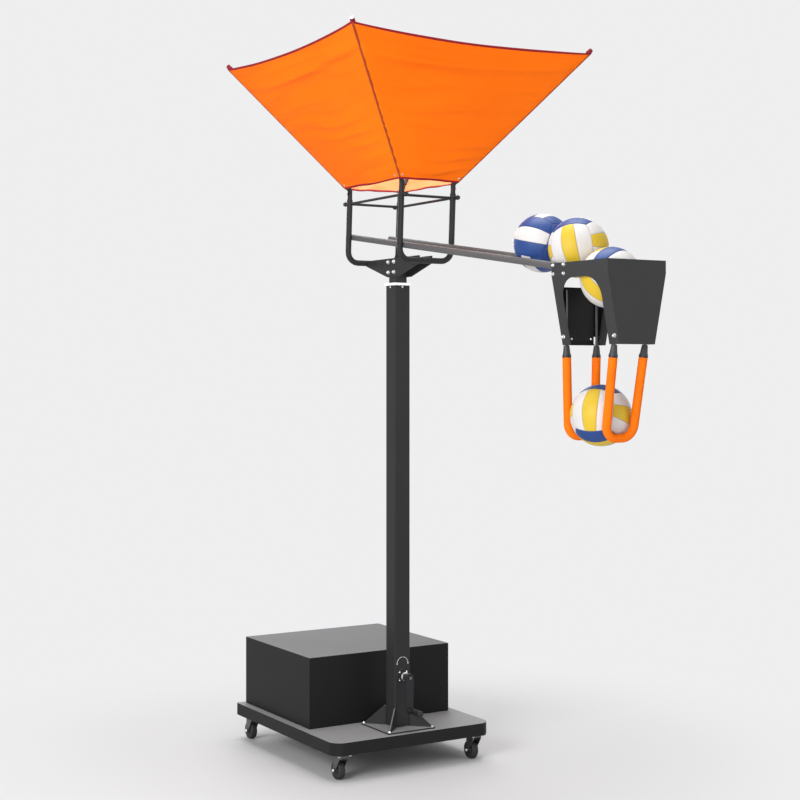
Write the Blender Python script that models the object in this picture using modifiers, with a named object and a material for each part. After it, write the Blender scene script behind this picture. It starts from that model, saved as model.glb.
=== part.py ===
"""Volleyball training machine: wheeled base, crank-up mast, catching funnel, ball rails and holder.

Metres, +Z up. Sizes are given from the mast's centre line, with the ball arm along -Y, and the
whole object hangs on one root empty that puts the middle of its footprint on the origin.
"""
import math

import bmesh
import bpy
from mathutils import Matrix, Vector

GAP = 0.0003                   # between pieces that touch or rest on each other
RUN_FIT = 0.0004               # radial clearance of turning and sliding fits
EDGE = 0.0015                  # small edge rounding
SIDES = 24                     # sides of round pieces
TUBE_SIDES_QUARTER = 3         # curve bevel resolution of tubes

# Deck
DECK_HALF_WIDTH = 0.369
DECK_FRONT_Y = -0.134
DECK_REAR_Y = 0.750
DECK_TOP_Z = 0.157
DECK_SKIRT = 0.0505
DECK_SHEET = 0.003
DECK_FRONT_RADIUS = 0.050
DECK_REAR_RADIUS = 0.006

# Underframe
FRAME_RAIL_WIDTH = 0.060
FRAME_WALL = 0.0025
FRAME_END_CLEAR = 0.012
CROSS_WIDTH = 0.050

# Counterweight cover and ballast
COVER_HALF_WIDTH = 0.335
COVER_FRONT_Y = 0.137
COVER_REAR_Y = 0.728
COVER_HEIGHT = 0.2885
COVER_SHEET = 0.002
COVER_EDGE = 0.004
BALLAST_WIDTH = 0.270
BALLAST_LENGTH = 0.470
BALLAST_THICK = 0.050
BALLAST_SPACING = 0.300
BALLAST_HANDLE_SLOT = 0.030

# Casters
CASTER_X = 0.315
CASTER_FRONT_Y = -0.086
CASTER_REAR_Y = 0.698
CASTER_TRAIL = 0.020
WHEEL_RADIUS = 0.0375
WHEEL_WIDTH = 0.032
WHEEL_SHOULDER = 0.004
WHEEL_HUB_RADIUS = 0.014
WHEEL_DISH = 0.004
TREAD_GROOVE = 0.0016
AXLE_RADIUS = 0.004
AXLE_HEAD_RADIUS = 0.0075
AXLE_HEAD = 0.004
CASTER_PLATE_WIDTH = 0.066
CASTER_PLATE_LENGTH = 0.080
CASTER_PLATE = 0.003
KINGPIN_RADIUS = 0.006
KINGPIN_HEAD_RADIUS = 0.010
KINGPIN_HEAD = 0.003
SWIVEL_RADIUS = 0.025
SWIVEL_HEIGHT = 0.008
FORK_SHEET = 0.0025
FORK_TOP_WIDTH = 0.050
FORK_FOOT_RADIUS = 0.010
FORK_CLEAR = 0.0015

# Mast
FOOT_PLATE = 0.220
FOOT_PLATE_THICK = 0.006
GUSSET_REACH = 0.097
GUSSET_HEIGHT = 0.078
GUSSET_TOE = 0.008
GUSSET_THICK = 0.005
OUTER_TUBE = 0.072
OUTER_WALL = 0.003
TUBE_CORNER = 0.005
OUTER_TOP_Z = 1.955
INNER_TUBE = 0.054
INNER_WALL = 0.0025
INNER_FOOT_Z = 0.450
INNER_TOP_Z = 2.066
BUSH_FLANGE = 0.083
BUSH_FLANGE_THICK = 0.010
BUSH_SPIGOT = 0.060

# Lift drive
CRANK_Z = 0.370
FLANGE_RADIUS = 0.030
FLANGE_THICK = 0.005
BOSS_RADIUS = 0.015
BOSS_LENGTH = 0.016
SHAFT_RADIUS = 0.006
SHAFT_INSIDE = 0.030
GEARBOX_HEIGHT = 0.070
ARM_HUB_RADIUS = 0.018
ARM_FOOT_RADIUS = 0.0145
ARM_LENGTH = 0.131
ARM_THICK = 0.011
ARM_HUB_LENGTH = 0.030
HUB_FRONT_Y = -0.0955
SHAFT_NUT_RADIUS = 0.007
SHAFT_NUT = 0.0035
GRIP_LENGTH = 0.082
GRIP_RADIUS = 0.0130
GRIP_WAIST = 0.0112
GRIP_PIN_RADIUS = 0.004
SCREW_RADIUS = 0.008
SCREW_TOP_Z = 1.360
NUT_HEIGHT = 0.030

# Head brackets
BRACKET_THICK = 0.0045
BRACKET_REAR_Y = 0.203
BRACKET_FRONT_Y = -0.212
BRACKET_REAR_DROP = 0.022
BRACKET_FRONT_DROP = 0.030
BRACKET_BOTTOM_DROP = 0.076
BRACKET_BOTTOM_REAR_Y = 0.031
BRACKET_BOTTOM_FRONT_Y = -0.055

# Upright frames that carry the funnel
POST_RADIUS = 0.012
POST_WALL = 0.002
POST_X = 0.1205
POST_BEND = 0.045
POST_LEAN = math.radians(3.2)
REAR_RUN_Y = 0.200
REAR_RUN_Z = 2.057
FRONT_RUN_Y = -0.210
FRONT_RUN_Z = 2.046
RING_Z = 2.299
RING_RADIUS = 0.0055
POST_TOP_ABOVE_RING = 0.018
CLAMP_BOSS_RADIUS = 0.0085
CLAMP_BOSS = 0.010
CLAMP_SCREW_RADIUS = 0.0035
KNOB_RADIUS = 0.010
KNOB_LENGTH = 0.016
KNOB_STANDOFF = 0.006

# Funnel
POLE_RADIUS = 0.0075
POLE_FOOT = 0.070
POLE_ELBOW_ABOVE_RING = 0.056
POLE_BEND = 0.030
POLE_TOP_X = 0.536
POLE_TOP_REAR_Y = 0.462
POLE_TOP_FRONT_Y = -0.570
POLE_TOP_Z = 2.866
POLE_TIP = 0.012
NET_THICK = 0.0024
NET_BOTTOM_STEP = 0.0185
NET_TOP_STEP = 0.004
NET_BULGE = 0.012
NET_WRINKLE = 0.0022
NET_TOP_SAG = 0.018
NET_BOTTOM_SAG = 0.004
NET_COLUMNS = 10
NET_ROWS = 8

# Ball rails
RAIL_RADIUS = 0.0125
RAIL_WALL = 0.002
RAIL_REAR_Y = 0.220
RAIL_FRONT_Y = -1.272
RAIL_Z_AT_MAST = 2.1342
RAIL_SLOPE = 0.1414
LUG_MIDDLE_Y = -1.236
LUG_LENGTH = 0.080

# Chute
CHUTE_HALF_WIDTH = 0.122
CHUTE_BOTTOM_HALF = 0.075
CHUTE_FRONT_Y = -1.499
CHUTE_REAR_Y = -1.200
CHUTE_TOP_Z = 1.973
CHUTE_FOLD_Z = 1.930
CHUTE_BOTTOM_Z = 1.697
CHUTE_SHEET = 0.002
ARCH_FRONT_Y = -1.449
ARCH_REAR_Y = -1.244
ARCH_TOP_Z = 1.921
ARCH_RADIUS = 0.068
REAR_PANEL_TOP_Z = 1.894
STRIP_BOTTOM_Z = 1.712
STRIP_TOP_Z = 1.758
STRIP_HALF_WIDTH = 0.054
STRIP_THICK = 0.003
LIP_DEPTH = 0.010
LIP_HEIGHT = 0.004

# Holder arms
PIVOT_RISE = 0.0295
ROD_RADIUS = 0.005
ROD_X = 0.065
ROD_ABOVE_PIVOT = 0.1575
REAR_ROD_Y = -1.2078
FRONT_LEAN = math.radians(10.0)
STUB_RADIUS = 0.004
SLEEVE_DROP = 0.003
SLEEVE_LENGTH = 0.036
SLEEVE_TOP_RADIUS = 0.0098
SLEEVE_FOOT_RADIUS = 0.0140
FOAM_RADIUS = 0.0150
FOAM_DROP = 0.270
FOAM_CONVERGE = 0.008
FOAM_BEND = 0.045

# Balls
BALL_RADIUS = 0.104
BALL_WALL = 0.0022
BALL_SIDES = 24
BALL_VALVE = 0.002
BALL_VALVE_ASIDE = 0.011
BALL_2_Y = -1.1900
BALL_3_FALL_SHARE = -0.84
HELD_BALL_RISE = 0.073

# Heights that hang from the chute's bottom edge
PIVOT_Z = CHUTE_BOTTOM_Z + PIVOT_RISE
ROD_TOP_Z = PIVOT_Z + ROD_ABOVE_PIVOT
SLEEVE_TOP_Z = CHUTE_BOTTOM_Z - SLEEVE_DROP
SLEEVE_BOTTOM_Z = SLEEVE_TOP_Z - SLEEVE_LENGTH
FOAM_RUN_Z = SLEEVE_BOTTOM_Z - FOAM_DROP
HELD_BALL_Z = FOAM_RUN_Z + HELD_BALL_RISE

FOOTPRINT_REAR_Y = max(DECK_REAR_Y, CASTER_REAR_Y + CASTER_TRAIL + WHEEL_RADIUS)
ROOT_Y = -(FOOTPRINT_REAR_Y + CHUTE_FRONT_Y) / 2


# Scene and helpers

for item in list(bpy.data.objects):
    bpy.data.objects.remove(item, do_unlink=True)

PARTS = bpy.data.collections.new("volleyball_training_machine")
CUTTERS = bpy.data.collections.new("cutters")
bpy.context.scene.collection.children.link(PARTS)
bpy.context.scene.collection.children.link(CUTTERS)

ALONG_X = Matrix(((0, 0, 1), (1, 0, 0), (0, 1, 0))).to_4x4()
ALONG_Y = Matrix(((1, 0, 0), (0, 0, 1), (0, -1, 0))).to_4x4()
ALONG_Z = Matrix.Identity(4)

root = bpy.data.objects.new("root", None)
root.location = (0, ROOT_Y, 0)
PARTS.objects.link(root)


def material(name, colour, roughness, metallic=0.0):
    made = bpy.data.materials.new(name)
    made.use_nodes = True
    shader = made.node_tree.nodes["Principled BSDF"]
    shader.inputs["Base Color"].default_value = (*colour, 1.0)
    shader.inputs["Roughness"].default_value = roughness
    shader.inputs["Metallic"].default_value = metallic
    return made


CHARCOAL = material("charcoal_powder", (0.045, 0.045, 0.047), 0.55)
DECK_GREY = material("deck_powder", (0.16, 0.16, 0.165), 0.6)
STEEL = material("zinc_steel", (0.55, 0.55, 0.56), 0.35, 1.0)
IRON = material("cast_iron", (0.10, 0.10, 0.10), 0.7, 0.4)
NYLON = material("white_nylon", (0.80, 0.80, 0.78), 0.45)
BLACK = material("black_plastic", (0.02, 0.02, 0.02), 0.45)
RUBBER = material("wheel_rubber", (0.03, 0.03, 0.03), 0.7)
FOAM = material("orange_foam", (1.0, 0.22, 0.02), 0.75)
CLOTH = material("orange_cloth", (1.0, 0.17, 0.01), 0.8)
BRASS = material("brass", (0.65, 0.45, 0.15), 0.3, 1.0)
LEATHER = material("ball_skin", (0.85, 0.85, 0.80), 0.5)


def place(name, mesh, skin, at=(0, 0, 0), turn=ALONG_Z, parent=None):
    """A new part: a mesh at a place, turned by a matrix."""
    made = bpy.data.objects.new(name, mesh)
    mesh.name = name
    mesh.materials.append(skin)
    made.parent = parent or root
    made.matrix_local = Matrix.Translation(Vector(at)) @ turn
    PARTS.objects.link(made)
    return made


def tool(mesh, at=(0, 0, 0), turn=ALONG_Z, parent=None):
    """A cutter or a joined-on shape, which is no part by itself."""
    made = bpy.data.objects.new("tool", mesh)
    made.parent = parent or root
    made.matrix_local = Matrix.Translation(Vector(at)) @ turn
    made.hide_render = True
    made.display_type = 'WIRE'
    CUTTERS.objects.link(made)
    return made


def boolean(part, other, operation):
    step = part.modifiers.new(operation.lower(), 'BOOLEAN')
    step.object = other
    step.operation = operation
    step.solver = 'EXACT'


def cut(part, mesh, at=(0, 0, 0), turn=ALONG_Z, parent=None):
    boolean(part, tool(mesh, at, turn, parent), 'DIFFERENCE')


def join(part, mesh, at=(0, 0, 0), turn=ALONG_Z, parent=None):
    boolean(part, tool(mesh, at, turn, parent), 'UNION')


def box(x, y, z, rounding=0.0, upright_only=False):
    """A centred box, with all its edges or its upright ones rounded."""
    work = bmesh.new()
    bmesh.ops.create_cube(work, size=1.0)
    bmesh.ops.scale(work, vec=(x, y, z), verts=work.verts)
    if rounding:
        edges = list(work.edges)
        if upright_only:
            edges = [e for e in edges if abs(e.verts[0].co.z - e.verts[1].co.z) > z / 2]
        bmesh.ops.bevel(work, geom=edges, offset=rounding, segments=3 if upright_only else 2,
                        profile=0.5, affect='EDGES')
    return finish(work)


def rod(radius, length, radius_top=None, sides=SIDES):
    """A centred cylinder or cone along Z."""
    work = bmesh.new()
    top = radius if radius_top is None else radius_top
    bmesh.ops.create_cone(work, cap_ends=True, segments=sides, radius1=radius, radius2=top, depth=length)
    return finish(work)


def finish(work, closed=True):
    mesh = bpy.data.meshes.new("shape")
    if closed:
        bmesh.ops.recalc_face_normals(work, faces=work.faces)
    work.to_mesh(mesh)
    work.free()
    mesh.shade_smooth()
    mesh.set_sharp_from_angle(angle=math.radians(35))
    return mesh


def settle(made):
    """The evaluated mesh of a helper object, with doubles merged, and the helper removed."""
    bpy.context.scene.collection.objects.link(made)
    graph = bpy.context.evaluated_depsgraph_get()
    mesh = bpy.data.meshes.new_from_object(made.evaluated_get(graph))
    bpy.data.objects.remove(made, do_unlink=True)
    work = bmesh.new()
    work.from_mesh(mesh)
    bmesh.ops.remove_doubles(work, verts=work.verts, dist=0.00001)
    bpy.data.meshes.remove(mesh)
    return work


def outline(points, thickness):
    """A flat outline in XY, centred on its thickness along Z."""
    curve = bpy.data.curves.new("outline", 'CURVE')
    curve.dimensions = '2D'
    curve.fill_mode = 'BOTH'
    curve.extrude = thickness / 2
    line = curve.splines.new('POLY')
    line.points.add(len(points) - 1)
    for point, (x, y) in zip(line.points, points):
        point.co = (x, y, 0, 1)
    line.use_cyclic_u = True
    return finish(settle(bpy.data.objects.new("outline", curve)))


def sweep(points, radius, wall=0.0, quarter=TUBE_SIDES_QUARTER):
    """A round bar along points, or an open-ended tube where a wall is given."""
    curve = bpy.data.curves.new("sweep", 'CURVE')
    curve.dimensions = '3D'
    curve.bevel_depth = radius
    curve.bevel_resolution = quarter
    curve.use_fill_caps = not wall
    line = curve.splines.new('POLY')
    line.points.add(len(points) - 1)
    for point, place_at in zip(line.points, points):
        point.co = (*place_at, 1)
    made = bpy.data.objects.new("sweep", curve)
    if wall:
        mesh = finish(settle(made))
        made = bpy.data.objects.new("tube", mesh)
        shell = made.modifiers.new("wall", 'SOLIDIFY')
        shell.thickness = wall
        shell.offset = -1
        shell.use_even_offset = True
    return finish(settle(made))


def turned(profile, sides=SIDES):
    """A shape turned about Z from (radius, height) points, top to bottom down the outer side."""
    mesh = bpy.data.meshes.new("profile")
    closed = profile[0][0] > 0
    count = len(profile)
    edges = [(i, i + 1) for i in range(count - 1)] + ([(count - 1, 0)] if closed else [])
    mesh.from_pydata([(r, 0, z) for r, z in profile], edges, [])
    made = bpy.data.objects.new("profile", mesh)
    screw = made.modifiers.new("turn", 'SCREW')
    screw.steps = sides
    screw.render_steps = sides
    screw.use_merge_vertices = True
    screw.merge_threshold = 0.00001
    return finish(settle(made))


def arc(centre, radius, start, end, steps):
    """Points of an arc in degrees."""
    spread = [math.radians(start + (end - start) * i / steps) for i in range(steps + 1)]
    return [(centre[0] + radius * math.cos(a), centre[1] + radius * math.sin(a)) for a in spread]


def rounded(corners, radii, steps=4):
    """An outline whose corners are rounded, each by its own radius."""
    points = []
    for i, (corner, radius) in enumerate(zip(corners, radii)):
        here = Vector(corner)
        before = (Vector(corners[i - 1]) - here).normalized()
        after = (Vector(corners[(i + 1) % len(corners)]) - here).normalized()
        if not radius:
            points.append(tuple(here))
            continue
        half = before.angle(after) / 2
        middle = here + (before + after).normalized() * radius / math.sin(half)
        first = here + before * radius / math.tan(half) - middle
        last = here + after * radius / math.tan(half) - middle
        for k in range(steps + 1):
            share = first.lerp(last, k / steps).normalized() * radius
            points.append(tuple(middle + share))
    return points


def bend(before, corner, after, radius, steps=5):
    """Points of a rounded corner between two straight runs in space."""
    here = Vector(corner)
    back = (Vector(before) - here).normalized()
    on = (Vector(after) - here).normalized()
    half = back.angle(on) / 2
    middle = here + (back + on).normalized() * radius / math.sin(half)
    first = here + back * radius / math.tan(half) - middle
    last = here + on * radius / math.tan(half) - middle
    turn = first.rotation_difference(last)
    axis, angle = turn.to_axis_angle()
    return [middle + Matrix.Rotation(angle * k / steps, 3, axis) @ first for k in range(steps + 1)]


# Deck and underframe

deck_outline = [(-DECK_HALF_WIDTH, DECK_FRONT_Y), (DECK_HALF_WIDTH, DECK_FRONT_Y),
                (DECK_HALF_WIDTH, DECK_REAR_Y), (-DECK_HALF_WIDTH, DECK_REAR_Y)]
deck_radii = [DECK_FRONT_RADIUS, DECK_FRONT_RADIUS, DECK_REAR_RADIUS, DECK_REAR_RADIUS]


def inset(corners, by):
    middle = sum((Vector(c) for c in corners), Vector((0, 0))) / len(corners)
    return [(x - math.copysign(by, x - middle.x), y - math.copysign(by, y - middle.y)) for x, y in corners]


deck_tray = place("deck_tray", outline(rounded(deck_outline, deck_radii, 8), DECK_SKIRT), DECK_GREY,
                  at=(0, 0, DECK_TOP_Z - DECK_SKIRT / 2))
inner_radii = [r - DECK_SHEET for r in deck_radii]
cut(deck_tray, outline(rounded(inset(deck_outline, DECK_SHEET), inner_radii, 8), DECK_SKIRT),
    at=(0, 0, DECK_TOP_Z - DECK_SKIRT / 2 - DECK_SHEET))

FRAME_TOP_Z = DECK_TOP_Z - DECK_SHEET - GAP
FRAME_BOTTOM_Z = DECK_TOP_Z - DECK_SKIRT
FRAME_HEIGHT = FRAME_TOP_Z - FRAME_BOTTOM_Z
FRAME_MIDDLE_Z = (FRAME_TOP_Z + FRAME_BOTTOM_Z) / 2
RAIL_SPAN = DECK_REAR_Y - DECK_FRONT_Y - 2 * (DECK_SHEET + FRAME_END_CLEAR)
FRAME_MIDDLE_Y = (DECK_REAR_Y + DECK_FRONT_Y) / 2

underframe = place("underframe", box(FRAME_RAIL_WIDTH, RAIL_SPAN, FRAME_HEIGHT), CHARCOAL,
                   at=(-CASTER_X, FRAME_MIDDLE_Y, FRAME_MIDDLE_Z))
cross_places = [0.0, (COVER_FRONT_Y + COVER_REAR_Y) / 2 - BALLAST_LENGTH / 3,
                (COVER_FRONT_Y + COVER_REAR_Y) / 2 + BALLAST_LENGTH / 3]
join(underframe, box(FRAME_RAIL_WIDTH, RAIL_SPAN, FRAME_HEIGHT), at=(CASTER_X, FRAME_MIDDLE_Y, FRAME_MIDDLE_Z))
for cross_y in cross_places:
    join(underframe, box(2 * CASTER_X, CROSS_WIDTH, FRAME_HEIGHT), at=(0, cross_y, FRAME_MIDDLE_Z))
hollow = FRAME_HEIGHT - 2 * FRAME_WALL
for side in (-1, 1):
    cut(underframe, box(FRAME_RAIL_WIDTH - 2 * FRAME_WALL, RAIL_SPAN + CROSS_WIDTH, hollow),
        at=(side * CASTER_X, FRAME_MIDDLE_Y, FRAME_MIDDLE_Z))
for cross_y in cross_places:
    cut(underframe, box(2 * CASTER_X, CROSS_WIDTH - 2 * FRAME_WALL, hollow), at=(0, cross_y, FRAME_MIDDLE_Z))

# Counterweight cover with its ballast

COVER_MIDDLE_Y = (COVER_FRONT_Y + COVER_REAR_Y) / 2
COVER_LENGTH = COVER_REAR_Y - COVER_FRONT_Y
COVER_BASE_Z = DECK_TOP_Z + GAP
counterweight_cover = place(
    "counterweight_cover", box(2 * COVER_HALF_WIDTH, COVER_LENGTH, COVER_HEIGHT), DECK_GREY,
    at=(0, COVER_MIDDLE_Y, COVER_BASE_Z + COVER_HEIGHT / 2))
cut(counterweight_cover,
    box(2 * (COVER_HALF_WIDTH - COVER_SHEET), COVER_LENGTH - 2 * COVER_SHEET, COVER_HEIGHT),
    at=(0, COVER_MIDDLE_Y, COVER_BASE_Z + COVER_HEIGHT / 2 - COVER_SHEET))
soft_edges = counterweight_cover.modifiers.new("edges", 'BEVEL')
soft_edges.width = EDGE / 2
soft_edges.segments = 2
soft_edges.limit_method = 'ANGLE'

for number, side in ((1, -1), (2, 1)):
    block = place("ballast_block_%d" % number, box(BALLAST_WIDTH, BALLAST_LENGTH, BALLAST_THICK, COVER_EDGE), IRON,
                  at=(side * BALLAST_SPACING / 2, COVER_MIDDLE_Y, COVER_BASE_Z + BALLAST_THICK / 2))
    for end in (-1, 1):
        cut(block, box(BALLAST_WIDTH / 3, BALLAST_HANDLE_SLOT, BALLAST_THICK * 2),
            at=(side * BALLAST_SPACING / 2, COVER_MIDDLE_Y + end * (BALLAST_LENGTH / 2 - BALLAST_HANDLE_SLOT),
                COVER_BASE_Z))

# Casters

PLATE_TOP_Z = FRAME_BOTTOM_Z - GAP
PLATE_BOTTOM_Z = PLATE_TOP_Z - CASTER_PLATE
FORK_TOP_Z = PLATE_BOTTOM_Z - GAP
FORK_HALF = WHEEL_WIDTH / 2 + FORK_CLEAR + FORK_SHEET / 2
KINGPIN_FOOT_Z = FORK_TOP_Z - SWIVEL_HEIGHT - GAP

wheel_profile = [
    (AXLE_RADIUS + RUN_FIT, WHEEL_WIDTH / 2),
    (WHEEL_HUB_RADIUS, WHEEL_WIDTH / 2),
    (WHEEL_HUB_RADIUS + WHEEL_DISH, WHEEL_WIDTH / 2 - WHEEL_DISH),
    (WHEEL_RADIUS - 2 * WHEEL_SHOULDER, WHEEL_WIDTH / 2 - WHEEL_DISH),
    (WHEEL_RADIUS - 1.5 * WHEEL_SHOULDER, WHEEL_WIDTH / 2 - WHEEL_SHOULDER / 2),
    (WHEEL_RADIUS - WHEEL_SHOULDER / 3, WHEEL_WIDTH / 2 - WHEEL_SHOULDER),
    (WHEEL_RADIUS, WHEEL_WIDTH / 5),
    (WHEEL_RADIUS - TREAD_GROOVE, WHEEL_WIDTH / 6),
    (WHEEL_RADIUS, WHEEL_WIDTH / 8),
]
wheel_profile = wheel_profile + [(r, -z) for r, z in reversed(wheel_profile)]

corners = [(-1, 'front', CASTER_FRONT_Y), (1, 'front', CASTER_FRONT_Y),
           (-1, 'rear', CASTER_REAR_Y), (1, 'rear', CASTER_REAR_Y)]
for side, end, caster_y in corners:
    label = "%s_%s" % (end, 'left' if side < 0 else 'right')
    swivel = (side * CASTER_X, caster_y, 0)
    plate = place("caster_plate_" + label,
                  box(CASTER_PLATE_WIDTH, CASTER_PLATE_LENGTH, CASTER_PLATE, EDGE * 2, True), STEEL,
                  at=(swivel[0], swivel[1], PLATE_TOP_Z - CASTER_PLATE / 2))
    pin_length = PLATE_BOTTOM_Z + CASTER_PLATE / 2 - KINGPIN_FOOT_Z + KINGPIN_HEAD / 2
    join(plate, rod(KINGPIN_RADIUS, pin_length, sides=16),
         at=(swivel[0], swivel[1], KINGPIN_FOOT_Z - KINGPIN_HEAD / 2 + pin_length / 2))
    join(plate, rod(KINGPIN_HEAD_RADIUS * 0.7, KINGPIN_HEAD, KINGPIN_HEAD_RADIUS, sides=16),
         at=(swivel[0], swivel[1], KINGPIN_FOOT_Z - KINGPIN_HEAD / 2))

    crown_z = FORK_TOP_Z - SWIVEL_HEIGHT + FORK_SHEET / 2
    fork = place("caster_fork_" + label, turned([
        (0, FORK_TOP_Z),
        (SWIVEL_RADIUS * 0.9, FORK_TOP_Z),
        (SWIVEL_RADIUS, FORK_TOP_Z - SWIVEL_HEIGHT / 3),
        (SWIVEL_RADIUS * 0.9, crown_z),
        (0, crown_z)]), STEEL,
        at=swivel)
    join(fork, box(2 * FORK_HALF, FORK_TOP_WIDTH, FORK_SHEET), at=(swivel[0], swivel[1], crown_z))
    cut(fork, rod(KINGPIN_RADIUS + RUN_FIT, SWIVEL_HEIGHT * 3, sides=SIDES),
        at=(swivel[0], swivel[1], FORK_TOP_Z - SWIVEL_HEIGHT))
    top_z = FORK_TOP_Z - SWIVEL_HEIGHT + FORK_SHEET
    leg = outline([(CASTER_TRAIL + x, WHEEL_RADIUS + z) for x, z in arc((0, 0), FORK_FOOT_RADIUS, 180, 360, 8)]
                  + [(FORK_TOP_WIDTH / 2, top_z - FORK_SHEET * 3), (FORK_TOP_WIDTH / 2, top_z),
                     (-FORK_TOP_WIDTH / 2, top_z), (-FORK_TOP_WIDTH / 2, top_z - FORK_SHEET * 3)], FORK_SHEET)
    for cheek in (-1, 1):
        join(fork, leg, at=(swivel[0] + cheek * FORK_HALF, swivel[1], 0), turn=ALONG_X)
    axle_length = 2 * (FORK_HALF + FORK_SHEET / 2 + AXLE_HEAD)
    join(fork, turned([
        (0, axle_length / 2), (AXLE_HEAD_RADIUS, axle_length / 2),
        (AXLE_HEAD_RADIUS, axle_length / 2 - AXLE_HEAD - FORK_SHEET / 2),
        (AXLE_RADIUS, axle_length / 2 - AXLE_HEAD - FORK_SHEET / 2),
        (AXLE_RADIUS, -axle_length / 2 + AXLE_HEAD + FORK_SHEET / 2),
        (AXLE_HEAD_RADIUS, -axle_length / 2 + AXLE_HEAD + FORK_SHEET / 2),
        (AXLE_HEAD_RADIUS, -axle_length / 2), (0, -axle_length / 2)], 12),
        at=(swivel[0], swivel[1] + CASTER_TRAIL, WHEEL_RADIUS), turn=ALONG_X)
    place("caster_wheel_" + label, turned(wheel_profile, 18), RUBBER,
          at=(swivel[0], swivel[1] + CASTER_TRAIL, WHEEL_RADIUS), turn=ALONG_X)

# Mast foot, outer tube and guide bush

FOOT_BASE_Z = DECK_TOP_Z + GAP
FOOT_TOP_Z = FOOT_BASE_Z + FOOT_PLATE_THICK
mast_foot = place("mast_foot", box(FOOT_PLATE, FOOT_PLATE, FOOT_PLATE_THICK, EDGE, True), CHARCOAL,
                  at=(0, 0, FOOT_BASE_Z + FOOT_PLATE_THICK / 2))
gusset_start = OUTER_TUBE / 2 * math.sqrt(2) - TUBE_CORNER * (math.sqrt(2) - 1) + GAP
gusset_end = GUSSET_REACH * math.sqrt(2)
gusset = outline([(gusset_start, -FOOT_PLATE_THICK / 2), (gusset_end, -FOOT_PLATE_THICK / 2),
                  (gusset_end, GUSSET_TOE), (gusset_start + GUSSET_TOE, GUSSET_HEIGHT),
                  (gusset_start, GUSSET_HEIGHT)], GUSSET_THICK)
for corner in range(4):
    spin = Matrix.Rotation(math.radians(45 + 90 * corner), 4, 'Z') @ Matrix.Rotation(math.radians(90), 4, 'X')
    join(mast_foot, gusset, at=(0, 0, FOOT_TOP_Z), turn=spin)


def square_tube(name, width, wall, low, high, corner, skin):
    """An upright square tube that is open at both ends."""
    made = place(name, box(width, width, high - low, corner, True), skin, at=(0, 0, (low + high) / 2))
    cut(made, box(width - 2 * wall, width - 2 * wall, 2 * (high - low), corner - wall / 2, True),
        at=(0, 0, (low + high) / 2))
    return made


mast_outer_tube = square_tube("mast_outer_tube", OUTER_TUBE, OUTER_WALL, FOOT_TOP_Z + GAP, OUTER_TOP_Z,
                              TUBE_CORNER, CHARCOAL)
cut(mast_outer_tube, rod(SHAFT_RADIUS + 2 * RUN_FIT, OUTER_TUBE), at=(0, -OUTER_TUBE / 2, CRANK_Z), turn=ALONG_Y)

BUSH_BORE = INNER_TUBE + 2 * RUN_FIT
BUSH_FIT = OUTER_TUBE - 2 * OUTER_WALL - 2 * GAP
BUSH_BASE_Z = OUTER_TOP_Z + GAP
mast_guide_bush = place("mast_guide_bush", box(BUSH_FLANGE, BUSH_FLANGE, BUSH_FLANGE_THICK, TUBE_CORNER, True), NYLON,
                        at=(0, 0, BUSH_BASE_Z + BUSH_FLANGE_THICK / 2))
join(mast_guide_bush, box(BUSH_FIT, BUSH_FIT, BUSH_SPIGOT + BUSH_FLANGE_THICK / 2, TUBE_CORNER - OUTER_WALL / 2, True),
     at=(0, 0, BUSH_BASE_Z - BUSH_SPIGOT / 2 + BUSH_FLANGE_THICK / 4))
cut(mast_guide_bush, box(BUSH_BORE, BUSH_BORE, 4 * BUSH_SPIGOT, TUBE_CORNER - OUTER_WALL / 2, True),
    at=(0, 0, BUSH_BASE_Z))

# Lift drive

FLANGE_BACK_Y = -OUTER_TUBE / 2 - GAP
SHAFT_REAR_Y = -OUTER_TUBE / 2 + OUTER_WALL + SHAFT_INSIDE
flange_bore = SHAFT_RADIUS + RUN_FIT
crank_bearing_flange = place("crank_bearing_flange", turned([
    (flange_bore, BOSS_LENGTH), (BOSS_RADIUS - EDGE, BOSS_LENGTH), (BOSS_RADIUS, BOSS_LENGTH - EDGE),
    (BOSS_RADIUS, FLANGE_THICK), (FLANGE_RADIUS - EDGE, FLANGE_THICK),
    (FLANGE_RADIUS, FLANGE_THICK - EDGE), (FLANGE_RADIUS, 0), (flange_bore, 0)], 24), CHARCOAL,
    at=(0, FLANGE_BACK_Y, CRANK_Z), turn=Matrix.Rotation(math.radians(90), 4, 'X'))

gearbox_width = OUTER_TUBE - 2 * OUTER_WALL - 2 * GAP
GEARBOX_LOW_Z = CRANK_Z - GEARBOX_HEIGHT / 2
lift_gearbox = place("lift_gearbox", box(gearbox_width, gearbox_width, GEARBOX_HEIGHT, TUBE_CORNER, True), IRON,
                     at=(0, 0, CRANK_Z))
cut(lift_gearbox, rod(SHAFT_RADIUS + RUN_FIT, 2 * SHAFT_INSIDE + 2 * RUN_FIT),
    at=(0, -OUTER_TUBE / 2 + OUTER_WALL, CRANK_Z), turn=ALONG_Y)
SCREW_SEAT_Z = CRANK_Z + SHAFT_RADIUS * 2
cut(lift_gearbox, rod(SCREW_RADIUS + RUN_FIT, GEARBOX_HEIGHT), at=(0, 0, SCREW_SEAT_Z + GEARBOX_HEIGHT / 2))

shaft_length = SHAFT_REAR_Y - HUB_FRONT_Y
crank_shaft = place("crank_shaft", rod(SHAFT_RADIUS, shaft_length), STEEL,
                    at=(0, SHAFT_REAR_Y - shaft_length / 2, CRANK_Z), turn=ALONG_Y)
join(crank_shaft, rod(SHAFT_NUT_RADIUS, SHAFT_NUT, sides=6), at=(0, HUB_FRONT_Y - SHAFT_NUT / 2 - GAP, CRANK_Z),
     turn=ALONG_Y)
join(crank_shaft, rod(SHAFT_RADIUS / 2, SHAFT_NUT * 2, sides=16), at=(0, HUB_FRONT_Y, CRANK_Z), turn=ALONG_Y)

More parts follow.
